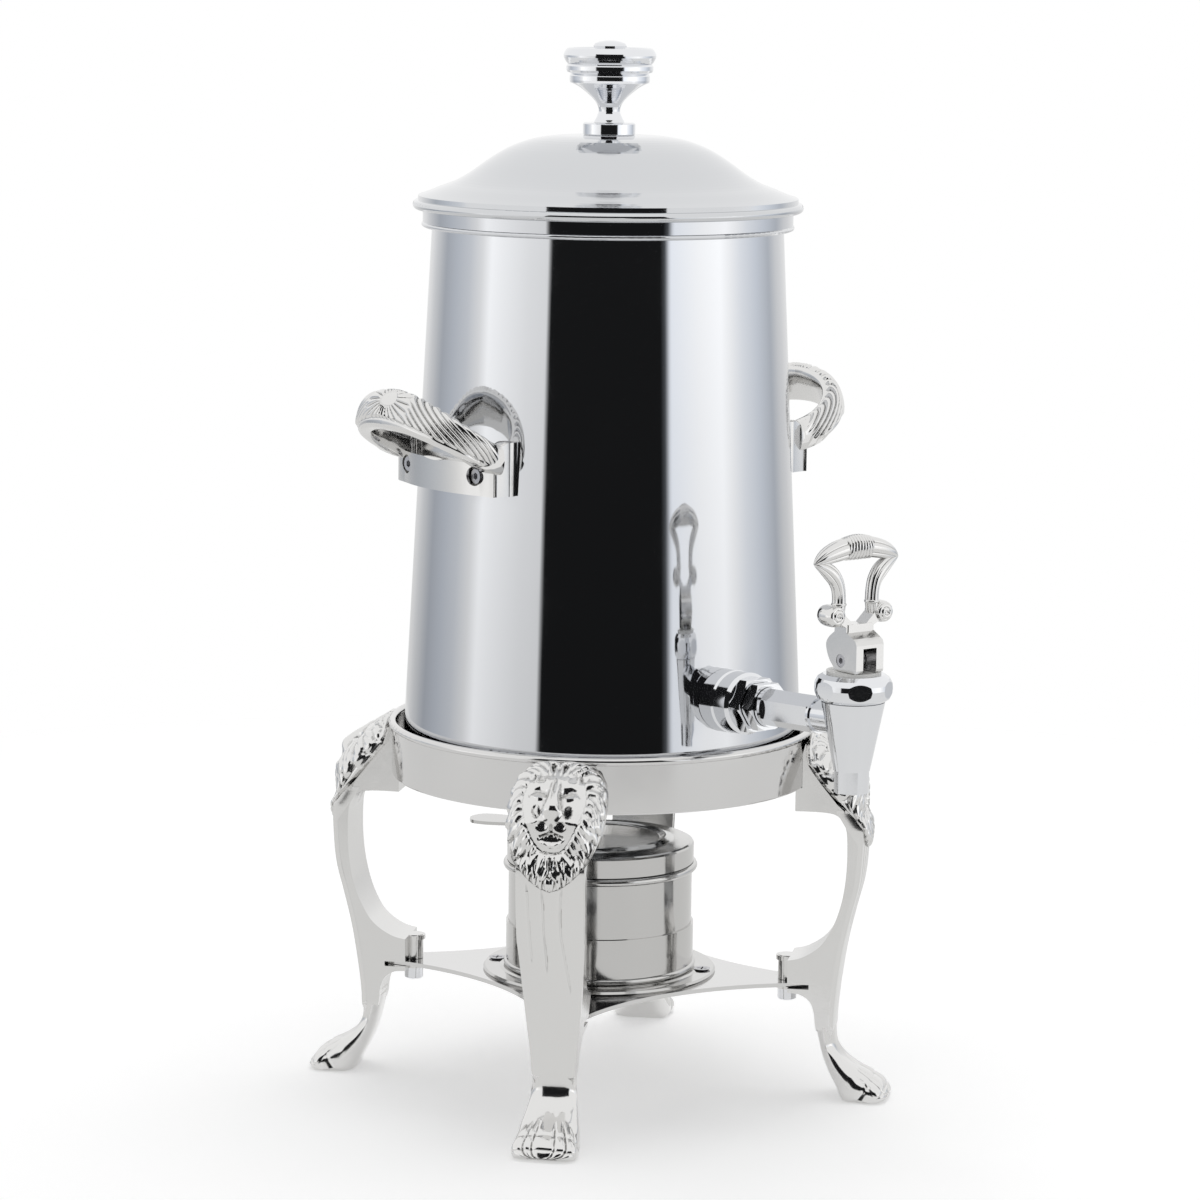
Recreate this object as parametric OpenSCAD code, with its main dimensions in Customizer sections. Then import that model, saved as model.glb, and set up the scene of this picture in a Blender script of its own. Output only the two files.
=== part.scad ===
// Coffee urn on a four-legged lion-mask stand with a fuel holder under it.
// Millimetres, Z up, floor at z = 0, urn axis on Z, faucet toward -Y.
// A piece drawn "in place" faces -Y and is then turned about Z to its own azimuth.

/* [Show] */
// Node to build, or "all" for the whole assembly

/* [Stand ring] */
// Radius of the ring's outer face
ring_r = 102.2; // [96:0.2:110]
// Height of the ring's lower edge above the floor
ring_z = 155; // [140:1:175]
// Height of the ring
ring_h = 27; // [24:0.5:32]
// Sheet thickness of the ring
ring_t = 1.8; // [1.4:0.1:2.6]
// Radius of the rolled bead round the ring's top edge
ring_bead_r = 1.9; // [1.4:0.1:2.4]
// Depth of the urn seat below the ring's top edge
seat_drop = 16; // [13:0.5:18]
// Turn of the stand against the faucet, beyond the legs' even 45 degrees
stand_turn = -2.4; // [-10:0.2:10]

/* [Legs] */
// Half width of a leg strap under the mask
strap_hw = 16; // [13:0.5:18]
// Half width of a leg at its ankle
ankle_hw = 10.2; // [8:0.2:12]
// Half width of a paw
paw_hw = 15.8; // [13:0.2:18]
// Half width of a lion mask
mask_hw = 23; // [20:0.5:25]
// How far the muzzle and brow stand out of the mask
mask_relief = 3; // [1:0.2:4]
// Depth of the grooves between mane locks
lock_depth = 1.3; // [0.4:0.1:2]

/* [Brace] */
// Thickness of the cross brace plate
brace_t = 2; // [1.5:0.1:2.4]
// Radius of the concave edge between two brace arms
brace_edge_r = 130.7; // [126:0.1:136]
// Radius of the bolts that hold the brace to the legs
brace_bolt_r = 2.5; // [2:0.1:3]
// Radius of the screws that hold the legs to the ring
leg_screw_r = 2; // [1.6:0.1:2.4]
// Radius of the screws that hold the fuel holder to the brace
holder_screw_r = 1.5; // [1.2:0.1:1.8]

/* [Fuel holder] */
// Outer radius of the fuel cup
cup_r = 44.9; // [42:0.1:47]
// Height of the fuel cup above its flange
cup_h = 50.5; // [44:0.5:52]
// Sheet thickness of the cup, its sleeve and its cover
cup_t = 1; // [0.8:0.1:1.4]
// Radius of the holder's base flange
flange_r = 57; // [54:0.5:58]
// Height of the snuffer cover's skirt
cover_h = 10; // [8:0.5:13]
// Turn of the snuffer cover's paddle about the urn axis
paddle_turn = -145; // [-180:5:180]

/* [Urn] */
// Outer radius of the urn wall at its foot
wall_base_r = 97; // [92:0.2:97.4]
// Outer radius of the urn wall at its top
wall_top_r = 84; // [80:0.2:86]
// Height of the urn wall
wall_h = 257.5; // [235:0.5:280]
// Sheet thickness of the urn wall
wall_t = 1.2; // [0.9:0.1:1.8]
// Outer radius of the collar band round the mouth
collar_r = 88.6; // [87.6:0.2:91]
// Height of the collar band
collar_h = 10.3; // [9:0.1:13]

/* [Lid and knob] */
// Radius of the lid's rolled rim
lid_r = 93.4; // [92:0.2:96]
// Rise of the lid's dome above its rim
dome_h = 32.6; // [26:0.2:40]
// Sheet thickness of the lid
lid_t = 1.2; // [0.9:0.1:1.6]
// Widest radius of the knob
knob_r = 22; // [18:0.5:26]
// Height of the knob above its collar
knob_h = 36.2; // [30:0.2:42]

/* [Side handles] */
// Height of the handle brackets' lower edge above the urn's foot
handle_rise = 134.7; // [110:0.5:150]
// Half width of a bracket's front face
bracket_hw = 36.5; // [32:0.5:38]
// Reach of a handle loop from the urn axis
loop_reach = 128.5; // [122:0.5:136]
// Height of the loop's cast bar
loop_bar_h = 18.5; // [14:0.5:20]
// Radius of the handle screws
handle_screw_r = 2; // [1.6:0.1:2.5]

/* [Faucet] */
// Height of the faucet shank above the urn's foot
faucet_rise = 39; // [36:0.5:60]
// Distance of the faucet body's axis from the urn axis
faucet_reach = 186.8; // [182:0.2:196]
// Radius of the shank's flange
shank_flange_r = 14.8; // [14:0.1:16]
// Radius of the faucet body at its top
body_top_r = 14.5; // [14:0.1:15.5]
// Outer radius of the spout tip
spout_r = 7.9; // [7.2:0.1:9]
// Height of the faucet body and spout
body_h = 41.7; // [38:0.2:44]
// Radius of the valve stem
stem_r = 2.2; // [1.8:0.1:2.4]
// Radius of the lever's pivot pin
pivot_r = 1.8; // [1.4:0.1:2]
// Radial play of the pivot pin in the stem's eye
pivot_play = 0.05; // [0.02:0.01:0.1]
// Radial play of the stem in the bonnet
stem_play = 0.08; // [0.04:0.01:0.1]
// Height of the lever's arch above its pivot
lever_h = 55.6; // [50:0.2:60]
// Half width across the lever's two tips
lever_hw = 24.4; // [22:0.2:27]

/* [Hidden] */
$fa = 1.5;
$fs = 0.5;
// Clearance of a screw or a stem in its hole
hole_play = 0.25;
// Gap between faces of pieces that only rest on each other
rest_gap = 0.3;
// Gap between faces that are clamped together
seat_gap = 0.02;
// Share by which the leg outline stretches with the ring's height
leg_k = ring_z / 155;
ring_top_z = ring_z + ring_h;
seat_z = ring_top_z - seat_drop;
ring_in_r = ring_r - ring_t;
leg_turns = [for (i = [0 : 3]) -45 + stand_turn + 90 * i];
// Brace, its slot in the legs and the bolts
brace_z = 54.8 * leg_k;
brace_top = brace_z + brace_t;
bolt_y = ring_r - 8.8;
slot_r = ring_r + 3.3;
slot_gap = 0.2;
bolt_head_r = brace_bolt_r * 1.84;
bolt_head_h = 5.6;
lug_low = 52.4 * leg_k;
// Holder
base_z = brace_top + seat_gap;
base_t = 2.4;
cup_z = base_z + base_t + seat_gap;
cup_top = cup_z + cup_h;
sleeve_h = 22.2;
bead_r = 1.9;
holder_screw_y = 51.2;
cover_z = cup_top + bead_r + rest_gap;
cover_top = cover_z + cover_h;
// Urn
wall_z = seat_z + rest_gap;
wall_top = wall_z + wall_h;
wall_tilt = atan((wall_base_r - wall_top_r) / wall_h);
function wall_r(z) = wall_base_r + (wall_top_r - wall_base_r) * (z - wall_z) / wall_h;
pan_z = wall_z + 4;
collar_z = wall_top - 3.5;
collar_top = collar_z + collar_h;
collar_t = 1.5;
// Lid
lid_z = collar_top + rest_gap;
rim_tube_r = 2.2;
rim_c = lid_r - rim_tube_r;
lid_seam_r = collar_r - 1.6;
dome_top = lid_z + 1 + dome_h;
knob_collar_h = 5.9;
knob_z = dome_top + knob_collar_h;
knob_k = knob_h / 36.2;
knob_top = knob_z + knob_h;
knob_screw_r = 2.5;
// Handles
handle_z = wall_z + handle_rise;
bracket_face_r = wall_r(handle_z) + 10.7;
bracket_turn = asin(bracket_hw / bracket_face_r);
handle_screw_x = bracket_hw - 9;
handle_screw_z = handle_z + 9;
recess_r = 4.5;
screw_seat_y = wall_r(handle_z) + 2.4;
nut_seat_y = wall_r(handle_z) - 10.6;
// Faucet
faucet_z = wall_z + faucet_rise;
faucet_wall_r = wall_r(faucet_z);
shank_len = faucet_reach - faucet_wall_r;
bore_r = 4.5;
thread_r = 8;
body_top = faucet_z + 13.65;
spout_z = body_top - body_h;
tip_h = 10;
chamber_r = 9;
valve_seat_z = spout_z + 13.2;
spigot_r = 12;
spigot_h = 7;
bonnet_r = body_top_r + 3.2;
bonnet_h = 12.8;
bonnet_top = body_top + bonnet_h - 0.2;
disc_r = 12.4;
disc_t = 1.4;
disc_top = bonnet_top + disc_t;
pivot_z = disc_top + 5;
lever_foot = disc_top + rest_gap;
cheek_hw = 8;
slot_hw = 3.85;

// ---------------------------------------------------------------- helpers
// Point on a smooth curve through four neighbours
function smooth(a, b, c, d, t) =
    0.5 * (2 * b + (c - a) * t + (2 * a - 5 * b + 4 * c - d) * t * t
    + (3 * b - a - 3 * c + d) * t * t * t);
// Smooth open curve through the points p with n steps per span
function curve(p, n) = [
    for (i = [0 : len(p) - 2]) for (j = [0 : n - 1])
        smooth(p[max(i - 1, 0)], p[i], p[i + 1], p[min(i + 2, len(p) - 1)], j / n),
    p[len(p) - 1]];
// Points of a list in reverse order
function back(p) = [for (i = [len(p) - 1 : -1 : 0]) p[i]];
// Point on a rounded section at angle a, squarer as n falls below 1
function round_at(a, n) = [sign(cos(a)) * pow(abs(cos(a)), n), sign(sin(a)) * pow(abs(sin(a)), n)];
// Faces that join rings of m points and close both ends
function skin(rows, m) = concat(
    [for (i = [0 : rows - 2]) for (j = [0 : m - 1])
        [i * m + j, i * m + (j + 1) % m, (i + 1) * m + (j + 1) % m]],
    [for (i = [0 : rows - 2]) for (j = [0 : m - 1])
        [i * m + j, (i + 1) * m + (j + 1) % m, (i + 1) * m + j]],
    [[for (j = [m - 1 : -1 : 0]) j]],
    [[for (j = [0 : m - 1]) (rows - 1) * m + j]]);

// Turns a piece drawn facing -Y to azimuth a
module at(a) {
    rotate([0, 0, a]) children();
}

// Repeats a piece at each of the four legs
module at_legs() {
    for (a = leg_turns) at(a) children();
}

// Cylinder from y0 out to y1 along -Y
module rod(r, y0, y1) {
    translate([0, -y0, 0]) rotate([90, 0, 0]) cylinder(r = r, h = y1 - y0);
}

// Hexagonal bar from y0 out to y1 along -Y, corner up when turn is 0
module hex_rod(r, y0, y1, turn = 0) {
    translate([0, -y0, 0]) rotate([90, turn, 0]) rotate([0, 0, 30]) cylinder(r = r, h = y1 - y0, $fn = 6);
}

// Solid inside the urn wall's cone, grown by d
module wall_cone(d) {
    translate([0, 0, wall_z]) cylinder(r1 = wall_base_r + d, r2 = wall_top_r + d, h = wall_h, $fn = 360);
}

// Frame on the urn wall: -Y runs out along the tilted shank
module on_wall() {
    translate([0, -faucet_wall_r, faucet_z]) rotate([-wall_tilt, 0, 0]) children();
}

// Profile turned about the urn axis
module turned(p) {
    rotate_extrude() polygon(p);
}

// ---------------------------------------------------------------- stand
module stand_ring() {
    color("silver") difference() {
        union() {
            turned([[ring_in_r, ring_z], [ring_r - 0.4, ring_z], [ring_r, ring_z + 0.6],
                [ring_r, ring_top_z - ring_bead_r], [ring_in_r, ring_top_z - ring_bead_r]]);
            rotate_extrude() translate([ring_r - 0.1, ring_top_z - ring_bead_r]) circle(ring_bead_r);
            // Seat that carries the urn's foot
            translate([0, 0, seat_z - 1.6]) difference() {
                cylinder(r = ring_in_r + 0.5, h = 1.6);
                translate([0, 0, -1]) cylinder(r = ring_in_r - 10, h = 4);
            }
        }
        at_legs() leg_screw_places() rod(leg_screw_r + hole_play, ring_in_r - 8, ring_r + 3);
    }
}

// Two screws side by side hold each leg to the ring, below the seat
module leg_screw_places() {
    for (x = [-8, 8]) translate([x, 0, ring_z + 4.8]) children();
}

// ---------------------------------------------------------------- legs
// Offset from the ring's face and height become a point of the leg outline
function leg_point(p) = [ring_r + p[0], p[1] * leg_k];
leg_outer = curve([[2, 176.5], [9.5, 173], [17.5, 164], [23.5, 155], [27, 146], [28.4, 136],
    [28.3, 124], [26.9, 108], [23.3, 93], [19.5, 76], [16.8, 57.6], [15.3, 42.3], [15.1, 34],
    [14.5, 29]], 4);
leg_inner = curve([[8.5, 29], [6.6, 36], [5.8, 43], [3.6, 48.6], [-1.5, 51.9], [-7.2, 52.4]], 4);
leg_gusset = curve([[-7.2, 68.9], [0, 70.8], [8.8, 77], [14.8, 87], [18.8, 99], [20.8, 112],
    [21.2, 126], [20.2, 136.5], [16.2, 142], [8.8, 143.5], [-4.4, 143.5]], 4);
leg_side = [for (p = concat(leg_outer, leg_inner, leg_gusset, [[-4.4, 160], [0, 176.5]])) leg_point(p)];
// Half width of the leg along its height
width_table = [[20, ankle_hw * 1.04], [34, ankle_hw], [46, ankle_hw * 1.09], [58, ankle_hw * 1.22],
    [76, (ankle_hw + strap_hw * 2) / 3], [100, strap_hw * 0.99], [124, strap_hw], [178, strap_hw]];
leg_front = [for (s = [-1, 1]) for (q = s > 0 ? back(width_table) : width_table) [s * q[0 + 1], q[0] * leg_k]];

module leg_profile() {
    rotate([90, 0, -90]) translate([0, 0, -mask_hw]) linear_extrude(2 * mask_hw)
        polygon([for (p = leg_side) [p[0], p[1]]]);
}

// Lion mask: rings of points from the middle of the face to its outline
mask_c = 156.5;
mask_outline = curve([[0, 180.5], [7, 180.2], [13.5, 178.3], [19, 173.5], [22.2, 167], [23, 158],
    [22.2, 149], [19.8, 140], [15.5, 133], [9, 127.3], [0, 124]], 2);
mask_ring = back(concat(mask_outline, [for (i = [len(mask_outline) - 2 : -1 : 1])
    [-mask_outline[i][0], mask_outline[i][1]]]));
mask_n = len(mask_ring);
mask_steps = [0.14, 0.27, 0.4, 0.52, 0.62, 0.72, 0.86, 1];
// Rear edge and crown of the mask as distances from the ring's face
function mask_edge(z) = lookup(z, [[124, 27], [135, 25], [145, 21], [150, 17.6], [160, 9.4],
    [168, 3.4], [174, 2.2], [182, 2.2]]);
function mask_crown(z) = lookup(z, [[124, 29.4], [128, 30.6], [134, 30.2], [143, 28.8], [150, 27.4],
    [158, 26.6], [163, 25.4], [168, 21.4], [173.5, 15.4], [177, 8.8], [181, 3.2]]);
function bump(x, z, cx, cz, w, h) = exp(-pow((x - cx) / w, 2) - pow((z - cz) / h, 2));
// Brow, nose, muzzle and eye hollows of the face
function face_form(x, z) = mask_relief * (
    0.75 * bump(x, z, 0, 160, 3.4, 9) + 0.9 * bump(x, z, 0, 152.5, 6.5, 4.5)
    + 0.35 * bump(x, z, 0, 144.5, 5, 3) - 0.5 * bump(abs(x), z, 7, 165, 3.4, 2.6)
    + 0.35 * bump(abs(x), z, 7, 170, 5, 2.4) - 0.25 * bump(abs(x), z, 11, 157, 3, 6));
// Offset of the mask's surface at outline point j and step f toward the outline
function mask_off(j, f) = let(
    q = mask_ring[j], x = q[0] * f, z = mask_c + (q[1] - mask_c) * f,
    e = mask_edge(z), c = mask_crown(z),
    lock = f > 0.6 ? (j % 2 == 0 ? lock_depth : -lock_depth) * (1 - pow(abs(f - 0.8) / 0.25, 2)) : 0)
    e + (c - e) * sqrt(max(0, 1 - pow(f, 3.2))) + face_form(x, z) * (f < 0.7 ? 1 : 0) + lock * (f < 1 ? 1 : 0);
function mask_xyz(j, f) = let(q = mask_ring[j])
    [q[0] * f * mask_hw / 23, -(ring_r + mask_off(j, f)), (mask_c + (q[1] - mask_c) * f) * leg_k];
mask_front = [for (f = mask_steps) for (j = [0 : mask_n - 1]) mask_xyz(j, f)];
mask_rear = [for (q = mask_ring) [q[0] * 0.9 * mask_hw / 23, -(ring_r + mask_edge(q[1]) - 1.6 + (q[1] < 140 ? -1 : 0)),
    (mask_c + (q[1] - mask_c) * 0.94) * leg_k]];
mask_rows = len(mask_steps);

module mask() {
    // Rings run from the face outward, then over the outline to the rear; two hub points close them
    polyhedron(concat(mask_front, mask_rear, [[0, -(ring_r + mask_off(0, 0)), mask_c * leg_k],
        [0, -(ring_r + 6), 160 * leg_k]]), concat(
        [for (i = [0 : mask_rows - 1]) for (j = [0 : mask_n - 1])
            [i * mask_n + j, i * mask_n + (j + 1) % mask_n, (i + 1) * mask_n + (j + 1) % mask_n]],
        [for (i = [0 : mask_rows - 1]) for (j = [0 : mask_n - 1])
            [i * mask_n + j, (i + 1) * mask_n + (j + 1) % mask_n, (i + 1) * mask_n + j]],
        [for (j = [0 : mask_n - 1]) [(j + 1) % mask_n, j, (mask_rows + 1) * mask_n]],
        [for (j = [0 : mask_n - 1])
            [mask_rows * mask_n + j, mask_rows * mask_n + (j + 1) % mask_n, (mask_rows + 1) * mask_n + 1]]));
}

// Paw: rounded sections from the ankle to the toes, each given by its sole point,
// its top point, its half width as a share of the paw's, and the depth of its toe grooves.
// The sole points run below the floor, where the casting is cut flat.
paw_rows = [[5.6, 41, 15.2, 40, ankle_hw / paw_hw, 0], [7.6, 31, 15.2, 31.5, ankle_hw / paw_hw, 0],
    [9.6, 21.5, 18, 26.3, 0.7, 0], [13, 13, 23, 23, 0.78, 0.02], [17, 5.6, 28, 20.3, 0.86, 0.05],
    [20.6, -1.6, 32.4, 17.2, 0.93, 0.09], [26, -1.8, 36.4, 13.6, 0.98, 0.12], [32, -1.8, 39.4, 10.2, 1, 0.14],
    [37, -1.6, 41.4, 6.8, 0.97, 0.15], [40.2, 0.6, 42.2, 4.2, 0.86, 0.14]];
paw_m = 28;
function paw_point(s, j) = let(
    a = 360 * j / paw_m, c = round_at(a, 0.7), x = c[1] * s[4] * paw_hw,
    groove = 1 - s[5] * (1 - abs(sin(180 * 4 * (x / paw_hw + 1) / 2))) * (c[0] > -0.2 ? 1 : 0),
    m = [(s[0] + s[2]) / 2, (s[1] + s[3]) / 2], h = [(s[2] - s[0]) / 2, (s[3] - s[1]) / 2])
    [x, -(ring_r + m[0] + h[0] * c[0] * groove), (m[1] + h[1] * c[0] * groove) * leg_k];

module paw() {
    polyhedron([for (s = paw_rows) for (j = [0 : paw_m - 1]) paw_point(s, j)], skin(len(paw_rows), paw_m));
}

module leg_casting() {
    color("gainsboro") difference() {
        union() {
            intersection() {
                leg_profile();
                translate([0, -ring_r + 40, 0]) rotate([90, 0, 0]) linear_extrude(100) polygon(leg_front);
            }
            mask();
            paw();
            // Round boss of the lug with a lip over it
            translate([0, -bolt_y, lug_low]) cylinder(r = 5.4, h = brace_z - slot_gap - lug_low);
            translate([0, -bolt_y, brace_top + slot_gap]) cylinder(r = 4.6, h = 12 * leg_k);
            translate([0, -bolt_y, 66.6 * leg_k]) cylinder(r = 5.6, h = 2.2);
        }
        // Ring side of the casting follows the ring's wall
        translate([0, 0, ring_z - seat_gap]) cylinder(r = ring_r + seat_gap, h = ring_h + 10);
        translate([0, 0, ring_top_z - 2 * ring_bead_r - seat_gap]) cylinder(r = ring_r - 0.1 + ring_bead_r + seat_gap, h = 20);
        // Flat sole on the floor
        translate([-mask_hw, -ring_r - 60, -10]) cube([2 * mask_hw, 60, 10]);
        // Flat face for the bolt's head
        translate([0, -bolt_y, lug_low - 3]) cylinder(r = bolt_head_r + 0.4, h = 3);
        // Slot that takes a brace arm
        translate([-30, -slot_r, brace_z - slot_gap]) cube([60, slot_r - 70, brace_t + 2 * slot_gap]);
        translate([0, -bolt_y, 40]) cylinder(r = brace_bolt_r + hole_play, h = 66 * leg_k - 40);
        leg_screw_places() rod(leg_screw_r + seat_gap, ring_in_r - 8, ring_r + 9);
    }
}

module leg_front_left() {
    at(leg_turns[0]) leg_casting();
}

module leg_front_right() {
    at(leg_turns[1]) leg_casting();
}

module leg_back_right() {
    at(leg_turns[2]) leg_casting();
}

module leg_back_left() {
    at(leg_turns[3]) leg_casting();
}

module leg_screws() {
    color("dimgray") at_legs() leg_screw_places() {
        rod(leg_screw_r, ring_in_r - 1.2, ring_r + 8.6);
        difference() {
            rod(leg_screw_r * 1.9, ring_in_r - 3, ring_in_r - 0.9);
            translate([-3, -ring_in_r + 1.6, -0.5]) cube([6, 2, 1]);
        }
    }
}

// ---------------------------------------------------------------- brace and fuel holder
brace_arm = slot_r - 0.6;
brace_edge_c = 94.4 * sqrt(2) * brace_edge_r / 130.7 + 0.9;

module brace_plate() {
    color("lightgray") translate([0, 0, brace_z]) at(leg_turns[0]) difference() {
        translate([-brace_arm, -brace_arm, 0]) cube([2 * brace_arm, 2 * brace_arm, brace_t]);
        for (i = [0 : 3]) rotate([0, 0, 90 * i]) {
            translate([brace_edge_c, brace_edge_c, -1]) cylinder(r = brace_edge_r, h = brace_t + 2);
            translate([0, -bolt_y, -1]) cylinder(r = brace_bolt_r + hole_play, h = brace_t + 2);
            translate([0, -holder_screw_y, -1]) cylinder(r = holder_screw_r + hole_play, h = brace_t + 2);
        }
    }
}

module brace_bolts() {
    color("silver") at_legs() translate([0, -bolt_y, 0]) {
        translate([0, 0, lug_low - bolt_head_h]) difference() {
            union() {
                translate([0, 0, 0.5]) cylinder(r = bolt_head_r, h = bolt_head_h - 0.5 - seat_gap);
                cylinder(r1 = bolt_head_r - 0.5, r2 = bolt_head_r, h = 0.5);
            }
            translate([0, 0, -1]) cylinder(r = 2.3, h = 3.4, $fn = 6);
        }
        translate([0, 0, lug_low - 1]) cylinder(r = brace_bolt_r, h = 12.2 * leg_k);
    }
}

module holder_flange() {
    color("darkgray") difference() {
        union() {
            turned([[0, base_z], [flange_r - 0.8, base_z], [flange_r, base_z + 0.9], [flange_r - 0.8, base_z + 1.9],
                [cup_r + 4.5, base_z + 1.9], [cup_r + 3, base_z + base_t], [0, base_z + base_t]]);
        }
        at_legs() translate([0, -holder_screw_y, base_z - 1]) cylinder(r = holder_screw_r + hole_play, h = 5);
        at_legs() translate([0, -holder_screw_y, base_z + 0.3])
            cylinder(r1 = holder_screw_r + hole_play, r2 = holder_screw_r * 2.9, h = 2.4);
    }
}

module holder_sleeve() {
    color("darkgray") difference() {
        union() {
            translate([0, 0, cup_z]) cylinder(r = cup_r + cup_t, h = sleeve_h);
            rotate_extrude() translate([cup_r + 0.6, cup_z + 1.5]) circle(1.5);
        }
        translate([0, 0, cup_z - 1]) cylinder(r = cup_r + seat_gap, h = sleeve_h + 2);
    }
}

module fuel_cup() {
    color("silver") difference() {
        union() {
            translate([0, 0, cup_z]) cylinder(r = cup_r, h = cup_h);
            rotate_extrude() translate([cup_r + 0.7, cup_top]) circle(bead_r);
        }
        translate([0, 0, cup_z + cup_t]) cylinder(r = cup_r - cup_t, h = cup_h + 5);
    }
}

module holder_screws() {
    color("dimgray") at_legs() translate([0, -holder_screw_y, 0]) difference() {
        union() {
            translate([0, 0, brace_z - 4]) cylinder(r = holder_screw_r, h = brace_t + 4.5);
            translate([0, 0, base_z + 0.45]) cylinder(r1 = holder_screw_r, r2 = holder_screw_r * 2.73, h = 2.2);
        }
        translate([-2.4, -0.35, base_z + 1.6]) cube([4.8, 0.7, 2]);
        translate([-0.35, -2.4, base_z + 1.6]) cube([0.7, 4.8, 2]);
    }
}

module holder_nuts() {
    color("dimgray") at_legs() translate([0, -holder_screw_y, brace_z - 2.4 - seat_gap]) difference() {
        cylinder(r = holder_screw_r + 1.7, h = 2.4, $fn = 6);
        translate([0, 0, -1]) cylinder(r = holder_screw_r + seat_gap, h = 5);
    }
}

// Snuffer cover: a spun cap with an embossed ring
cover_r = cup_r + 0.8;
cover_outer = concat([[cover_r, cover_z]], [[cover_r, cover_top - 1.4], [cover_r - 0.5, cover_top - 0.5],
    [cover_r - 1.5, cover_top]], curve([[38, cover_top + 0.5], [35, cover_top + 0.9], [32, cover_top + 2.3],
    [29, cover_top + 1.2], [26, cover_top + 1.1], [0, cover_top + 1.5]], 3));

module snuffer_cover() {
    color("silver") difference() {
        turned(concat(cover_outer, back([for (p = cover_outer) [max(0, p[0] - (p[1] < cover_top ? cup_t : 0)),
            p[1] - (p[1] < cover_top - 1 ? 0 : cup_t)]])));
        paddle_rivet_places() translate([0, 0, cover_top - 3]) cylinder(r = 1.5, h = 9);
    }
}

// Two rivets in line hold the paddle on the cover
module paddle_rivet_places() {
    at(paddle_turn) for (y = [13, 21]) translate([0, -y, 0]) children();
}

paddle_z = cover_top + 2.5;

module snuffer_paddle() {
    color("silver") difference() {
        at(paddle_turn) union() {
            translate([0, 0, cover_top + 1.5]) linear_extrude(1.4) polygon([[-6, -9], [6, -9], [6, -27], [-6, -27]]);
            rotate([90, 0, -90]) translate([0, 0, -6]) linear_extrude(12) polygon([[25, cover_top + 1.5],
                [27, cover_top + 1.5], [33, cover_top + 4.2], [36, cover_top + 4.2], [36, cover_top + 5.8],
                [32.4, cover_top + 5.8], [26, cover_top + 2.9], [25, cover_top + 2.9]]);
            translate([0, 0, cover_top + 4.2]) linear_extrude(1.6)
                polygon(concat([[-6, -35]], curve([[-6.4, -40], [-8.6, -50], [-9.4, -58], [-7.4, -64.5],
                [0, -67.5], [7.4, -64.5], [9.4, -58], [8.6, -50], [6.4, -40]], 4), [[6, -35]]));
        }
        paddle_rivet_places() translate([0, 0, cover_top - 3]) cylinder(r = 1.5, h = 9);
    }
}

module snuffer_rivets() {
    color("dimgray") paddle_rivet_places() {
        translate([0, 0, cover_top - 0.9]) cylinder(r = 1.48, h = 4);
        translate([0, 0, cover_top + 2.92]) cylinder(r1 = 2.9, r2 = 2.2, h = 1);
        translate([0, 0, cover_top - 1]) cylinder(r = 2.4, h = 1);
    }
}

// ---------------------------------------------------------------- urn
module urn_shell() {
    color("lightsteelblue") difference() {
        translate([0, 0, wall_z]) cylinder(r1 = wall_base_r, r2 = wall_top_r, h = wall_h);
        translate([0, 0, wall_z - 0.001]) cylinder(r1 = wall_base_r - wall_t, r2 = wall_top_r - wall_t, h = wall_h + 0.002);
        on_wall() rod(thread_r + hole_play, -8, 8);
        at_handles() handle_screw_places() rod(handle_screw_r + hole_play, nut_seat_y - 8, bracket_face_r + 8);
    }
}

// Bottom pan: a dished sheet with a turned-down rim inside the wall
module urn_pan() {
    pan_r = wall_r(pan_z) - wall_t - 0.1;
    foot_r = wall_r(wall_z + 0.5) - wall_t - 0.1;
    color("silver") turned([[0, pan_z + 2], [60, pan_z + 2.6], [pan_r - 6, pan_z + 6], [pan_r - 1.2, pan_z + 4],
        [foot_r - 1.2, wall_z + 0.5], [foot_r, wall_z + 0.5], [wall_r(pan_z + 6) - wall_t - 0.1, pan_z + 6],
        [pan_r - 5, pan_z + 7.4], [60, pan_z + 3.8], [0, pan_z + 3.2]]);
}

// Collar band round the mouth, with a bead along its lower edge
module top_collar() {
    in_r = wall_r(collar_z) + 0.15;
    color("silver") union() {
        turned([[in_r, collar_z + 0.6], [in_r + 1.2, collar_z], [collar_r - 0.6, collar_z],
            [collar_r, collar_z + 0.6], [collar_r, collar_top - 0.5], [collar_r - 0.5, collar_top],
            [wall_top_r - 2.5, collar_top], [wall_top_r - 2.5, collar_top - 1.4],
            [collar_r - collar_t, collar_top - 1.4], [collar_r - collar_t, collar_z + 1.8], [in_r, collar_z + 1.8]]);
        rotate_extrude() translate([collar_r - 0.6, collar_z + 1.3]) circle(1.2);
    }
}

// ---------------------------------------------------------------- lid and knob
dome_k = dome_h / 32.6;
dome_outer = curve([[rim_c - 0.4, 3.4], [86.2, 5], [79.5, 7.7], [72.9, 10.3], [66.2, 14.2], [59.3, 19.2],
    [52.5, 23.7], [45.8, 27.2], [36.5, 30.4], [26, 32.1], [15, 32.6]], 3);
dome_line = [for (p = dome_outer) [p[0], lid_z + 1 + p[1] * dome_k]];

module lid_dome() {
    low = lid_z;
    color("lightsteelblue") difference() {
        union() {
            turned(concat(dome_line, [[0, dome_top], [0, dome_top - lid_t]],
                back([for (p = dome_line) [p[0] - (p[0] > 40 && p[0] < 86 ? 0.5 : 0), p[1] - lid_t]]),
                [[lid_seam_r, low + 1.4], [lid_seam_r, low], [rim_c, low]]));
            rotate_extrude() translate([rim_c, lid_z]) circle(rim_tube_r);
        }
        translate([0, 0, dome_top - 5]) cylinder(r = knob_screw_r + hole_play, h = 9);
    }
}

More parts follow.
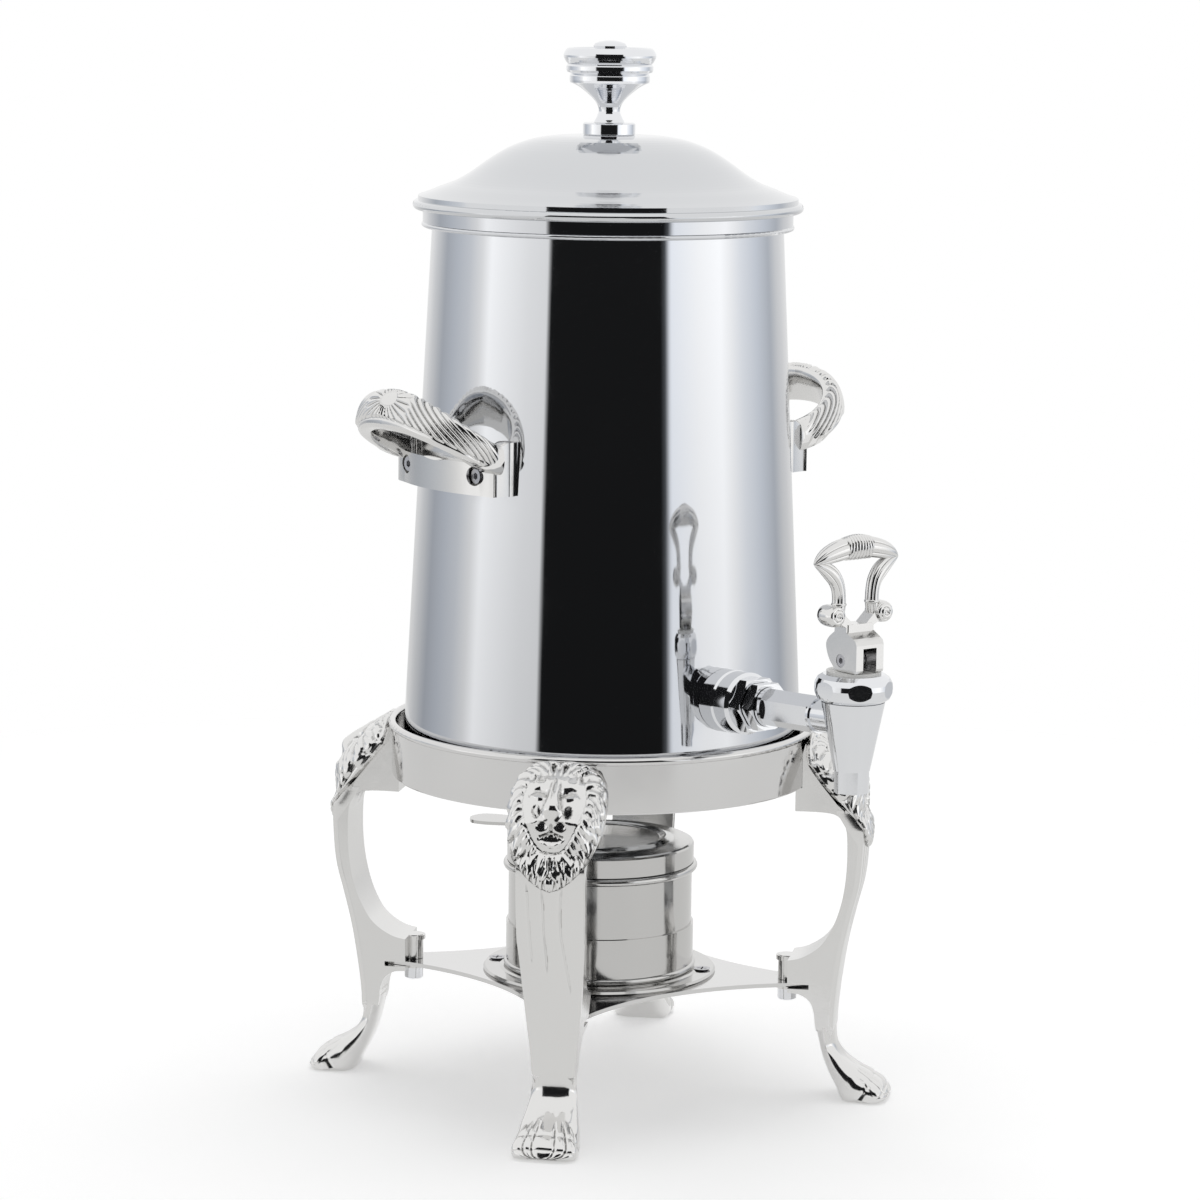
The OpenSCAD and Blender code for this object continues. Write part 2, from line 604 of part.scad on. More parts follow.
// Angled ring soldered inside the rim, whose skirt centres the lid in the mouth
module lid_skirt() {
    low = lid_z;
    color("silver") turned([[wall_top_r - 5, low - 8], [wall_top_r - 3.8, low - 8], [wall_top_r - 3.8, low + 0.2],
        [lid_seam_r - seat_gap, low + 0.2], [lid_seam_r - seat_gap, low + 1.4], [wall_top_r - 5, low + 1.4]]);
}

module knob_collar() {
    z = dome_top + seat_gap;
    color("silver") difference() {
        turned([[0, z], [12.1, z], [12.5, z + 0.5], [12.5, z + 5.2], [11.9, z + 5.85], [0, z + 5.85]]);
        translate([0, 0, z - 1]) cylinder(r = knob_screw_r + hole_play, h = 9);
    }
}

// Turned knob: flared foot, waist, bowl with two steps and a thick rim
module knob_bowl() {
    rk = knob_r / 22;
    low = curve([[7.4, 0], [6.2, 2.2], [5.1, 5.2], [5.8, 8.4], [7.6, 11], [10.6, 13.8], [14.2, 16.6], [17.6, 18.4]], 3);
    prof = concat([[0, 0]], low, [[18.9, 18.9], [19.1, 20], [19.1, 22], [18.5, 23.2], [20.2, 23.8],
        [20.7, 24.8], [20.7, 26.6], [20, 27.6], [20.9, 28.6]],
        curve([[20.9, 28.6], [22, 30.8], [21.9, 32.6], [20.9, 34.4], [19.6, 35.2], [18.4, 35.1]], 2),
        [[17.4, 34.6], [8.5, 34.9], [0, 34.9]]);
    color("silver") difference() {
        turned([for (p = prof) [p[0] < 6 ? p[0] : p[0] * rk, knob_z + seat_gap + p[1] * knob_k]]);
        translate([0, 0, knob_z - 1]) cylinder(r = knob_screw_r, h = 15);
    }
}

module knob_button() {
    z = knob_z + 35 * knob_k;
    color("silver") turned([[0, z], [7.7, z], [7.9, z + 1.2], [7.2, z + 2.4], [5, z + 3.2], [2.4, z + 3.7], [0, z + 3.8]]);
}

module knob_screw() {
    z = dome_top - lid_t;
    color("dimgray") union() {
        translate([0, 0, z - 2]) cylinder(r = knob_screw_r - seat_gap, h = 19);
        difference() {
            turned([[0, z - 4.6], [3.2, z - 4.6], [4.6, z - 3.6], [4.8, z - 1.3], [0, z - 1.3]]);
            translate([-0.5, -6, z - 5.6]) cube([1, 12, 2]);
        }
    }
}

module knob_washer() {
    z = dome_top - lid_t - seat_gap;
    color("silver") difference() {
        translate([0, 0, z - 1.2]) cylinder(r = 9, h = 1.2);
        translate([0, 0, z - 2]) cylinder(r = knob_screw_r + hole_play, h = 4);
    }
}

// ---------------------------------------------------------------- side handles
// Repeats a piece at both handle places
module at_handles() {
    for (a = [-90, 90]) at(a) children();
}

module handle_screw_places() {
    for (x = [-1, 1]) translate([x * handle_screw_x, 0, handle_screw_z]) children();
}

// Bar of the loop: middle line, then tilt and size of its section along it
loop_k = loop_reach - 129;
loop_half = [[33.4, 90, 318], [34.4, 97, 320.3], [34.9, 104, 323.6], [33.8, 110.5, 327.6], [30.2, 116.4, 331.6],
    [23.8, 120.8, 335.2], [15.4, 123.4, 337.9], [7.4, 124.6, 339.2], [0, 124.9, 339.6]];
loop_line = curve(concat(loop_half, [for (i = [len(loop_half) - 2 : -1 : 0])
    [-loop_half[i][0], loop_half[i][1], loop_half[i][2]]]), 2);
loop_n = len(loop_line);
loop_m = 16;
// Share of the way from an end to the loop's middle
function loop_f(i) = 1 - abs(2 * i / (loop_n - 1) - 1);
function loop_point(i, j) = let(
    p = loop_line[i], q0 = loop_line[max(i - 1, 0)], q1 = loop_line[min(i + 1, loop_n - 1)],
    t = [q1[0] - q0[0], -(q1[1] - q0[1])], n = [t[1], -t[0]] / norm(t) * -1,
    f = loop_f(i), c = round_at(-360 * j / loop_m, 0.85),
    hh = loop_bar_h / 2 * (0.78 + 0.22 * f), ht = 4.6 - 0.4 * f, lean = 24 * f,
    o = c[0] * ht * cos(lean) - c[1] * hh * sin(lean), u = c[1] * hh * cos(lean) + c[0] * ht * sin(lean),
    reach = loop_k * min(1, max(0, (p[1] - 97) / 28)))
    [p[0] * bracket_hw / 34.5 + n[0] * o, -(p[1] + reach) + n[1] * o, handle_z + p[2] - 301 + u];

module handle_loop() {
    polyhedron([for (i = [0 : loop_n - 1]) for (j = [0 : loop_m - 1]) loop_point(i, j)], skin(loop_n, loop_m));
}

// Wedge of the bracket between two heights, reaching out to radius r
module bracket_wedge(r, turn, z0, z1) {
    intersection() {
        translate([0, 0, z0]) cylinder(r = r, h = z1 - z0);
        translate([0, 0, z0 - 1]) linear_extrude(z1 - z0 + 2) polygon([[0, 0], [-200 * tan(turn), -200], [200 * tan(turn), -200]]);
    }
}

module handle_casting() {
    top = handle_z + 25.5;
    color("gainsboro") difference() {
        union() {
            bracket_wedge(bracket_face_r, bracket_turn, handle_z, handle_z + 15);
            bracket_wedge(bracket_face_r - 6.4, bracket_turn + 3, handle_z, handle_z + 20);
            // Posts at both ends carry the loop
            for (s = [-1, 1]) hull() {
                translate([s * (bracket_hw - 3), -(bracket_face_r * cos(bracket_turn) - 4), handle_z])
                    cylinder(r = 3.6, h = 22);
                translate([s * (bracket_hw - 1.2), -(bracket_face_r * cos(bracket_turn) - 10), handle_z])
                    cylinder(r = 4.6, h = top - handle_z - 0.5);
            }
            handle_loop();
            // Cabochon on the middle of the loop
            translate([0, -(loop_reach - 1.6), handle_z + 43.6]) rotate([-24, 0, 0]) scale([1.35, 0.55, 0.8]) sphere(r = 4.6);
        }
        wall_cone(0.12);
        handle_screw_places() rod(handle_screw_r + hole_play, screw_seat_y - 30, loop_reach);
        handle_screw_places() rod(recess_r, screw_seat_y, loop_reach);
        // Finger hollow under the loop
        translate([0, -(bracket_face_r + 2.5), handle_z + 23]) scale([1, 0.42, 0.42]) sphere(r = 22);
    }
}

module handle_left() {
    at(-90) handle_casting();
}

module handle_right() {
    at(90) handle_casting();
}

module handle_screws() {
    color("dimgray") at_handles() handle_screw_places() {
        rod(handle_screw_r, nut_seat_y - 2.6, screw_seat_y + 1);
        difference() {
            rod(handle_screw_r * 1.75, screw_seat_y + seat_gap, screw_seat_y + 3.6);
            hex_rod(1.75, screw_seat_y + 1.8, screw_seat_y + 5);
        }
    }
}

// Washers inside the wall, hollowed to its curve so the nuts seat square
module handle_saddles() {
    color("silver") at_handles() intersection() {
        handle_screw_places() difference() {
            rod(5.6, nut_seat_y, nut_seat_y + 15);
            rod(handle_screw_r + hole_play, nut_seat_y - 5, nut_seat_y + 20);
        }
        wall_cone(-wall_t - 0.05);
    }
}

module handle_nuts() {
    color("dimgray") at_handles() handle_screw_places() difference() {
        hex_rod(4, nut_seat_y - 3.2, nut_seat_y - seat_gap);
        rod(handle_screw_r, nut_seat_y - 10, nut_seat_y + 5);
    }
}

// ---------------------------------------------------------------- faucet
module shank_washer() {
    color("dimgray") difference() {
        on_wall() rod(shank_flange_r - 1.6, -2, 2.4);
        wall_cone(0.03);
        on_wall() rod(thread_r + hole_play, -10, 10);
    }
}

// Flange whose back is hollowed to the urn's wall
module shank_flange() {
    color("silver") difference() {
        on_wall() union() {
            rod(shank_flange_r, -2, 7.6);
            translate([0, -7.6, 0]) rotate([90, 0, 0]) cylinder(r1 = shank_flange_r, r2 = shank_flange_r - 0.9, h = 0.9);
        }
        wall_cone(0.1);
        on_wall() rod(thread_r + hole_play, -10, 12);
        on_wall() rod(shank_flange_r - 1.55, -10, 2.42);
    }
}

module shank_collar() {
    color("silver") on_wall() difference() {
        union() {
            rod(shank_flange_r - 1.1, 8.52, 9.4);
            rod(shank_flange_r - 0.3, 9.4, 17.2);
            translate([0, -17.2, 0]) rotate([90, 0, 0]) cylinder(r1 = shank_flange_r - 0.3, r2 = shank_flange_r - 1.8, h = 1.5);
        }
        rod(thread_r + hole_play, 0, 30);
    }
}

// Hexagonal nut with both corners turned off
module shank_nut(r, y0, y1) {
    difference() {
        intersection() {
            hex_rod(r, y0, y1, 30);
            union() {
                translate([0, -y0, 0]) rotate([90, 0, 0]) cylinder(r1 = r * 0.9, r2 = r, h = 1.2);
                rod(r, y0 + 1.2, y1 - 1.2);
                translate([0, -y1 + 1.2, 0]) rotate([90, 0, 0]) cylinder(r1 = r, r2 = r * 0.9, h = 1.2);
            }
        }
        rod(thread_r, y0 - 1, y1 + 1);
    }
}

module clamp_nut() {
    color("silver") on_wall() shank_nut(shank_flange_r - 0.9, 18.72, 26);
}

module lock_nut() {
    color("silver") on_wall() shank_nut(shank_flange_r - 2.6, 26.6, 33);
}

module inner_washer() {
    color("dimgray") intersection() {
        on_wall() difference() {
            rod(13, -6, 4);
            rod(thread_r + hole_play, -12, 12);
        }
        wall_cone(-wall_t - 0.03);
    }
}

module inner_nut() {
    color("silver") on_wall() shank_nut(12.6, -11.5, -6.02);
}

// Shank: threaded tail through the wall, ring, and a hexagonal bar out to the faucet
hex_end = shank_len - 23.6;

module shank() {
    color("silver") on_wall() difference() {
        union() {
            rod(thread_r - seat_gap, -16, 34);
            rod(9.4, 33.5, 36.6);
            hex_rod(8.7, 36, hex_end);
            rod(6.6, hex_end - 1, hex_end + 6);
        }
        rod(bore_r, -20, shank_len);
    }
}

// Faucet body: plumb cone with a straight spout and a ferrule square to the shank
module faucet_body() {
    color("silver") difference() {
        union() {
            translate([0, -faucet_reach, spout_z]) {
                cylinder(r = spout_r, h = tip_h);
                translate([0, 0, tip_h]) cylinder(r1 = spout_r + 0.3, r2 = body_top_r, h = body_h - tip_h);
                translate([0, 0, body_h - 1]) cylinder(r = spigot_r, h = spigot_h + 1);
            }
            on_wall() rod(7.6, hex_end + 0.02, shank_len - 4);
            on_wall() rod(8.3, hex_end + 0.02, hex_end + 1.6);
        }
        // Valve chamber, outlet and the shank's socket
        translate([0, -faucet_reach, valve_seat_z]) cylinder(r = chamber_r - 2.4, h = 8);
        translate([0, -faucet_reach, valve_seat_z + 7]) cylinder(r = chamber_r, h = 60);
        translate([0, -faucet_reach, spout_z - 1]) cylinder(r = spout_r - 2, h = body_h);
        on_wall() rod(6.62, hex_end - 1, hex_end + 6.1);
        on_wall() rod(bore_r, hex_end, shank_len);
    }
}

// Bonnet: a rounded cap with six flats, screwed over the body's spigot
module bonnet() {
    z = body_top + 0.1;
    h = bonnet_h - 0.3;
    color("silver") translate([0, -faucet_reach, z]) difference() {
        intersection() {
            turned([[0, 0], [bonnet_r - 3.4, 0], [bonnet_r - 1.2, 1.6], [bonnet_r - 0.2, 4], [bonnet_r, h / 2],
                [bonnet_r - 0.2, h - 4], [bonnet_r - 1.4, h - 1.6], [bonnet_r - 3.8, h], [0, h]]);
            rotate([0, 0, 30]) translate([0, 0, -1]) cylinder(r = (bonnet_r - 0.9) / cos(30), h = h + 2, $fn = 6);
        }
        translate([0, 0, -1]) cylinder(r = spigot_r + 0.02, h = spigot_h + 1.2);
        cylinder(r = stem_r + stem_play, h = 30);
    }
}

module bonnet_disc() {
    color("whitesmoke") translate([0, -faucet_reach, bonnet_top]) difference() {
        cylinder(r = disc_r, h = disc_t);
        translate([0, 0, -1]) cylinder(r = stem_r + stem_play, h = 5);
    }
}

module valve_stem() {
    color("silver") translate([0, -faucet_reach, 0]) difference() {
        union() {
            translate([0, 0, valve_seat_z + 3]) cylinder(r = stem_r, h = pivot_z - valve_seat_z - 5.2);
            translate([0, 0, valve_seat_z + 7.4]) cylinder(r = 5.4, h = 1.2);
            translate([-3.5, 0, pivot_z]) rotate([0, 90, 0]) cylinder(r = 3.8, h = 7);
        }
        translate([-5, 0, pivot_z]) rotate([0, 90, 0]) cylinder(r = pivot_r + pivot_play, h = 10);
    }
}

module seat_cup() {
    color("dimgray") translate([0, -faucet_reach, valve_seat_z]) difference() {
        translate([0, 0, 0.3]) cylinder(r1 = chamber_r - 3.4, r2 = chamber_r - 3, h = 7);
        translate([0, 0, 2.9]) cylinder(r = stem_r + seat_gap, h = 9);
    }
}

// Spring coils as one turned ring stack round the stem
module stem_spring() {
    z0 = valve_seat_z + 8.8;
    z1 = body_top + spigot_h - 0.3;
    n = 7;
    color("silver") translate([0, -faucet_reach, 0]) union() {
        for (i = [0 : n - 1]) translate([0, 0, z0 + 0.7 + (z1 - z0 - 1.4) * i / (n - 1)])
            rotate_extrude() translate([4.2, 0]) circle(0.6);
        for (a = [0, 120, 240]) rotate([0, 0, a]) translate([4.2, 0, z0 + 0.7]) cylinder(r = 0.25, h = z1 - z0 - 1.4);
    }
}

// ---------------------------------------------------------------- lever
lever_k = lever_h / 55.6;
lever_w = lever_hw / 24.4;
// Side outline of the lever's cam base: distance outward and height from the pivot
cam_outline = concat([[10.4, -4.7], [10.8, -3.4], [10.8, 8], [10, 9.8], [8.4, 10.8], [3.6, 13.2], [3.6, 15.4], [-4.4, 15.4]],
    curve([[-4.6, 12.8], [-8.6, 9.6], [-10.2, 6], [-8.2, 0.4], [-4.6, -3.6], [-3.4, -4.7]], 4));
// Bars of the lever's lyre, in half: distance across, height, half thickness and half depth
lever_arch = [[24.2, 44.9, 0.5, 0.6], [22.4, 46, 1.5, 1.5], [19.6, 47.3, 2.6, 2.4], [16, 48.6, 3.5, 3],
    [11.5, 49.8, 4.1, 3.3], [6, 50.8, 4.3, 3.4], [0, 51.1, 4.4, 3.5]];
lever_arm = [[10.6, 20.5, 2.4, 2.8], [9.8, 25, 2.4, 2.8], [9.7, 28.5, 2.3, 2.8], [10.2, 32.5, 2.4, 2.8],
    [11.6, 36.2, 2.7, 2.8], [14.4, 39.8, 3, 2.7], [18, 42.6, 2.6, 2.3], [21.6, 44.2, 1.6, 1.5], [23.9, 44.8, 0.6, 0.7]];
lever_wrap = [[4.2, 50.8, 4.8, 3.9], [1.5, 51.05, 5, 4.05], [0, 51.1, 5, 4.1]];
lever_m = 16;
// Other half of a bar, mirrored and in reverse order
function other_half(p) = [for (i = [len(p) - 2 : -1 : 0]) [-p[i][0], p[i][1], p[i][2], p[i][3]]];
function lever_point(rows, i, j) = let(
    p = rows[i], a = rows[max(i - 1, 0)], b = rows[min(i + 1, len(rows) - 1)],
    t = [b[0] - a[0], b[1] - a[1]] / norm([b[0] - a[0], b[1] - a[1]]), c = round_at(-360 * j / lever_m, 0.9))
    [(p[0] + t[1] * p[2] * c[0]) * lever_w, p[3] * c[1], (p[1] - t[0] * p[2] * c[0]) * lever_k];

// Moves to the pivot; y runs outward from it as -Y
module at_pivot() {
    translate([0, -faucet_reach, pivot_z]) children();
}

// Bar of the lyre through a list of rows
module lever_bar(rows) {
    polyhedron([for (i = [0 : len(rows) - 1]) for (j = [0 : lever_m - 1]) lever_point(rows, i, j)],
        skin(len(rows), lever_m));
}

// Scroll with rounded ends
scroll_half = [[4.8, 2.2], [4.3, 3.9], [2.8, 5], [0, 5.4]];

module lever_handle() {
    color("silver") at_pivot() difference() {
        union() {
            rotate([90, 0, -90]) translate([0, 0, -cheek_hw]) linear_extrude(2 * cheek_hw) polygon(cam_outline);
            // Neck block under the two scrolls
            translate([-7, -4, 12]) cube([14, 8, 4.6]);
            for (s = [-1, 1]) {
                hull() {
                    translate([s * 5, 3.6, 15.6]) rotate([90, 0, 0]) cylinder(r = 1.6, h = 7.2);
                    translate([s * 12 * lever_w, 3.6, 20.6 * lever_k]) rotate([90, 0, 0]) cylinder(r = 2.6, h = 7.2);
                }
                translate([s * 14 * lever_w, 0, 21 * lever_k]) rotate([90, 0, 0]) rotate_extrude()
                    polygon(concat([[0, -5.4]], [for (p = back(scroll_half)) if (p[0] > 0) [p[0], -p[1]]], scroll_half));
                // Ring under the arm, then the arm curving out to its tip
                translate([s * 9.7 * lever_w, 0, 25.8 * lever_k]) rotate_extrude() translate([2.6, 0]) circle(0.9);
                lever_bar([for (p = lever_arm) [s * p[0], p[1], p[2], p[3]]]);
            }
            // Arch across both tips and the wrap round its middle
            lever_bar(concat(lever_arch, other_half(lever_arch)));
            lever_bar(concat(lever_wrap, other_half(lever_wrap)));
        }
        // Fork for the stem's eye, open below and in front
        translate([-slot_hw, -20, -6]) cube([2 * slot_hw, 26, 12.4]);
        translate([-10, 0, 0]) rotate([0, 90, 0]) cylinder(r = pivot_r + seat_gap, h = 20);
        translate([-cheek_hw - 1, 0, 0]) rotate([0, 90, 0]) cylinder(r = 3, h = 2.2);
    }
}

module lever_pin() {
    color("dimgray") at_pivot() difference() {
        union() {
            translate([-cheek_hw + 1.2, 0, 0]) rotate([0, 90, 0]) cylinder(r = pivot_r, h = 2 * cheek_hw - 1.4);
            translate([-cheek_hw + 0.2, 0, 0]) rotate([0, 90, 0]) cylinder(r = 2.9, h = 1);
        }
        translate([-cheek_hw - 1, 0, 0]) rotate([0, 90, 0]) cylinder(r = 1.5, h = 2.4, $fn = 6);
    }
}

stand_ring();
leg_front_left();
leg_front_right();
leg_back_right();
leg_back_left();
leg_screws();
brace_plate();
brace_bolts();
holder_flange();
holder_sleeve();
fuel_cup();
holder_screws();
holder_nuts();
snuffer_cover();
snuffer_paddle();
snuffer_rivets();
urn_shell();
urn_pan();
top_collar();
lid_dome();
lid_skirt();
knob_collar();
knob_bowl();
knob_button();
knob_screw();
knob_washer();
handle_left();
handle_right();
handle_screws();
handle_saddles();
handle_nuts();
shank_washer();
shank_flange();
shank_collar();
clamp_nut();
lock_nut();
inner_washer();
inner_nut();
shank();
faucet_body();
bonnet();
bonnet_disc();
valve_stem();
seat_cup();
stem_spring();
lever_handle();
lever_pin();
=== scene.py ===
# %% [markdown]
# # A polished coffee urn on a lion-mask stand
# The construction model gives every piece at its real size. This file dresses it: the cast legs,
# the looped handles and the lever get their carving, every piece gets its finish, and a small
# studio is set up round the urn. Lengths are in metres, except that carved forms are worked out in
# millimetres and scaled when their mesh is made. Z is up, and the faucet points to -Y.

# %% Load the construction model
import math
import bmesh
import bpy
import numpy as np
from mathutils import Matrix, Vector


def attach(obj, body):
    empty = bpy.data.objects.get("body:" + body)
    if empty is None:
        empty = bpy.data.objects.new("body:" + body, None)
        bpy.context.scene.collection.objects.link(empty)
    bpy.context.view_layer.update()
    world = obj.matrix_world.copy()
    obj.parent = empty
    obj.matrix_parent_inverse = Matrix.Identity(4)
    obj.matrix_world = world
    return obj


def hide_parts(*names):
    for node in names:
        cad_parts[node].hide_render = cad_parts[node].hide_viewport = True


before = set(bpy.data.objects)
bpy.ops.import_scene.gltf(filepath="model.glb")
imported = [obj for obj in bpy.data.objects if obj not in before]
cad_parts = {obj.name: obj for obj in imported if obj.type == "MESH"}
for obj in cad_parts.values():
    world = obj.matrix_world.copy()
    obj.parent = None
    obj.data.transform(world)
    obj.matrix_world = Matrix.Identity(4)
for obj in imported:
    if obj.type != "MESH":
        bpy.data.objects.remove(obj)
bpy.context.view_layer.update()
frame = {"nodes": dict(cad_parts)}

nodes = frame["nodes"]
scene = bpy.context.scene
scene.view_settings.view_transform = "Standard"

# %% [markdown]
# ## Camera
# A product photographer stands back about two metres with a long lens, so the urn's sides stay
# nearly parallel, and looks down by nine degrees so that the lid's dome and the paws both show.
# A camera could be dragged into place by eye, or made to track an empty. Here its matrix is built
# from the viewing direction, because each angle is then a number that can be set by itself, and a
# small roll can be given as well.

# %% Place the camera
SENSOR_MM, PICTURE_PX, FOCAL_PX = 36, 1200, 4096.1
CAMERA_AT = Vector((-1.1871, -1.5640, 0.5508))
# Degrees round the urn's axis from the faucet's side, positive to its right, as everywhere below
CAMERA_SIDE = -37.2
ROUND, PITCH, PAN, ROLL = (math.radians(a) for a in (CAMERA_SIDE, 8.996, -0.0506, 0.6776))

forward = Vector((math.sin(PAN) * math.cos(PITCH), math.cos(PAN) * math.cos(PITCH), -math.sin(PITCH)))
right = Vector((math.cos(PAN), -math.sin(PAN), 0))
up = right.cross(forward)
right, up = right * math.cos(ROLL) + up * math.sin(ROLL), up * math.cos(ROLL) - right * math.sin(ROLL)
axes = Matrix((right, up, -forward)).transposed().to_4x4()

camera = bpy.data.objects.new("camera", bpy.data.cameras.new("camera"))
camera.data.lens = SENSOR_MM * FOCAL_PX / PICTURE_PX
camera.data.clip_end = 30
camera.matrix_world = Matrix.Translation(CAMERA_AT) @ Matrix.Rotation(ROUND, 4, "Z") @ axes
scene.collection.objects.link(camera)
scene.camera = camera
print("lens", round(camera.data.lens, 1), "mm, camera at", [round(c, 3) for c in CAMERA_AT])

# %% [markdown]
# ## Shader maths as plain expressions
# A finish is a small sum: a base value, plus a bit of noise, times a mask. Nodes could be wired one
# by one, but that hides the sum. So one class wraps a node's output and lets it be added and
# multiplied as a number is. Every other node comes from one method, which sets the node's choices
# first and its sockets after.

# %% A wire that can stand in a sum
class Wire:
    """An output socket that can be added, subtracted, multiplied and divided."""

    def __init__(self, nodes, socket):
        self.nodes, self.socket = nodes, socket

    def maths(self, operation, *values):
        return self.nodes.add("Math", {"operation": operation}, dict(enumerate(values)))

    def __add__(self, other):
        return self.maths("ADD", self, other)

    def __radd__(self, other):
        return self.maths("ADD", other, self)

    def __sub__(self, other):
        return self.maths("SUBTRACT", self, other)

    def __rsub__(self, other):
        return self.maths("SUBTRACT", other, self)

    def __mul__(self, other):
        return self.maths("MULTIPLY", self, other)

    def __rmul__(self, other):
        return self.maths("MULTIPLY", other, self)

    def __truediv__(self, other):
        return self.maths("DIVIDE", self, other)

    def __rtruediv__(self, other):
        return self.maths("DIVIDE", other, self)


print("a wire can be added, subtracted, multiplied and divided")

# %% A node tree that is filled one node at a time
RAYS_TO_BACKDROP = ("Is Camera Ray", "Is Glossy Ray", "Is Transmission Ray")


class Nodes:
    """The node tree of a material or a world."""

    def __init__(self, owner):
        owner.use_nodes = True
        self.tree = owner.node_tree
        self.tree.nodes.clear()

    def add(self, kind, settings=None, sockets=None, out=0):
        """Makes a node, sets its choices, then its sockets by name or number, and returns an output."""
        node = self.tree.nodes.new("ShaderNode" + kind)
        for key, value in (settings or {}).items():
            if key == "stops":
                ramp = node.color_ramp
                while len(ramp.elements) < len(value):
                    ramp.elements.new(0.5)
                for element, (position, colour) in zip(ramp.elements, value):
                    element.position = position
                    element.color = (*colour, 1)
            else:
                setattr(node, key, value)
        for key, value in (sockets or {}).items():
            if isinstance(value, Wire):
                self.tree.links.new(value.socket, node.inputs[key])
            else:
                node.inputs[key].default_value = value
        return Wire(self, node.outputs[out]) if node.outputs else None

    def mix(self, factor, a, b):
        """Blends two colours, given as three numbers or as wires."""
        a, b = ((*c, 1) if isinstance(c, tuple) else c for c in (a, b))
        return self.add("Mix", {"data_type": "RGBA"}, {0: factor, 6: a, 7: b}, out=2)

    def backdrop_rays(self):
        """1 for what is seen straight, mirrored or through glass, 0 for light on a matt surface."""
        seen, mirrored, through = (self.add("LightPath", out=ray) for ray in RAYS_TO_BACKDROP)
        return seen.maths("MAXIMUM", seen, seen.maths("MAXIMUM", mirrored, through))


print("node trees ready, backdrops show to", len(RAYS_TO_BACKDROP), "kinds of ray")

# %% [markdown]
# ## A white room
# Polished metal shows what stands round it more than its own colour, so the room is as much a part
# of the finish as the material is. A picture of a real room could be wrapped round the scene. A
# plain white world is used instead, since every card that is added to it is then a chosen one. It
# is full white to the camera and in reflections, and dimmer where it lights matt surfaces, so that
# the floor keeps a shadow.

# %% World
MATT_LIGHT = 0.55
scene.world = bpy.data.worlds.new("white room")
room = Nodes(scene.world)
strength = MATT_LIGHT + (1 - MATT_LIGHT) * room.backdrop_rays()
sky = room.add("Background", None, {"Color": (1, 1, 1, 1), "Strength": strength})
room.add("OutputWorld", None, {"Surface": sky})
print("world: 1.0 to the camera and in reflections,", MATT_LIGHT, "on matt surfaces")

# %% [markdown]
# ## The floor sheet
# The urn stands on white paper. A wide plane would do for the shadow, but its far edge would show
# as a line. This sheet is round and fades out toward its edge, so it melts into the white room. It
# glows a little to the camera, because lit paper alone comes out grey beside a white backdrop.

# %% Helpers for stage pieces
def made(name, points, faces):
    """A mesh object from points and faces."""
    mesh = bpy.data.meshes.new(name)
    mesh.from_pydata(points, [], faces)
    thing = bpy.data.objects.new(name, mesh)
    scene.collection.objects.link(thing)
    return thing


def on_circle(r, a, z=0.0):
    """Point at radius r, height z and a degrees round the axis from the faucet's side."""
    a = math.radians(a)
    return Vector((r * math.sin(a), -r * math.cos(a), z))


def band(name, edges, turns, closed=True):
    """A band between two edges, each given as radius and height, through the given degrees round."""
    n = len(turns)
    faces = [(i, (i + 1) % n, (i + 1) % n + n, i + n) for i in range(n if closed else n - 1)]
    return made(name, [on_circle(r, a, z) for r, z in edges for a in turns], faces)


print("a point straight ahead:", tuple(on_circle(1, 0)))

# %% Lay the floor sheet
FLOOR_R, FADE_FROM = 1.2, 0.55
UNDER_PAWS = 0.0003
PAPER_WHITE, PAPER_GLOW = (0.88, 0.88, 0.88, 1), 0.3

edge = [on_circle(FLOOR_R, a) for a in range(0, 360, 4)]
floor = made("floor", edge, [tuple(range(len(edge)))])
floor.location.z = -UNDER_PAWS

sheet = bpy.data.materials.new("white paper")
paper = Nodes(sheet)
from_middle = paper.add("TexCoord", out="Object")
reach = paper.add("VectorMath", {"operation": "LENGTH"}, {0: from_middle}, out="Value")
fade = paper.add("MapRange", {"interpolation_type": "SMOOTHSTEP"},
                 {"Value": reach, "From Min": FADE_FROM, "From Max": FLOOR_R})
matt = paper.add("BsdfDiffuse", None, {"Color": PAPER_WHITE})
glow = paper.add("Emission", None, {"Color": (1, 1, 1, 1), "Strength": PAPER_GLOW * paper.backdrop_rays()})
lit = paper.add("AddShader", None, {0: matt, 1: glow})
sheet_end = paper.add("MixShader", None, {0: fade, 1: lit, 2: paper.add("BsdfTransparent")})
paper.add("OutputMaterial", None, {"Surface": sheet_end})
floor.data.materials.append(sheet)
print("floor sheet of", round(2 * FLOOR_R, 2), "m across, fading from", FADE_FROM, "m out")

# %% [markdown]
# ## A painted drum
# Photographers hang cards and cloths round a polished piece, just out of view, so that it has
# something to mirror. Many separate cards could be hung. One low drum of cloth is simpler: its tone
# changes with the direction only, from black behind the camera to bright left and right and a cool
# grey further round, and the leaning wall draws each tone out into an upright stripe. The drum is
# hidden from the camera and from matt surfaces, so it shows in the metal alone.

# %% Stand the drum
DRUM_R, DRUM_LOW, DRUM_TOP = 3.2, -0.6, 0.62
ALL_ROUND = range(0, 360, 5)


def mirrored_only(thing):
    """Keeps a stage piece out of the picture and off matt surfaces, so that it only shows in metal."""
    thing.visible_camera = thing.visible_diffuse = thing.visible_shadow = False


drum = band("drum", [(DRUM_R, DRUM_LOW), (DRUM_R, DRUM_TOP)], ALL_ROUND)
mirrored_only(drum)
print("drum", DRUM_R * 2, "m across, its top at", DRUM_TOP, "m")

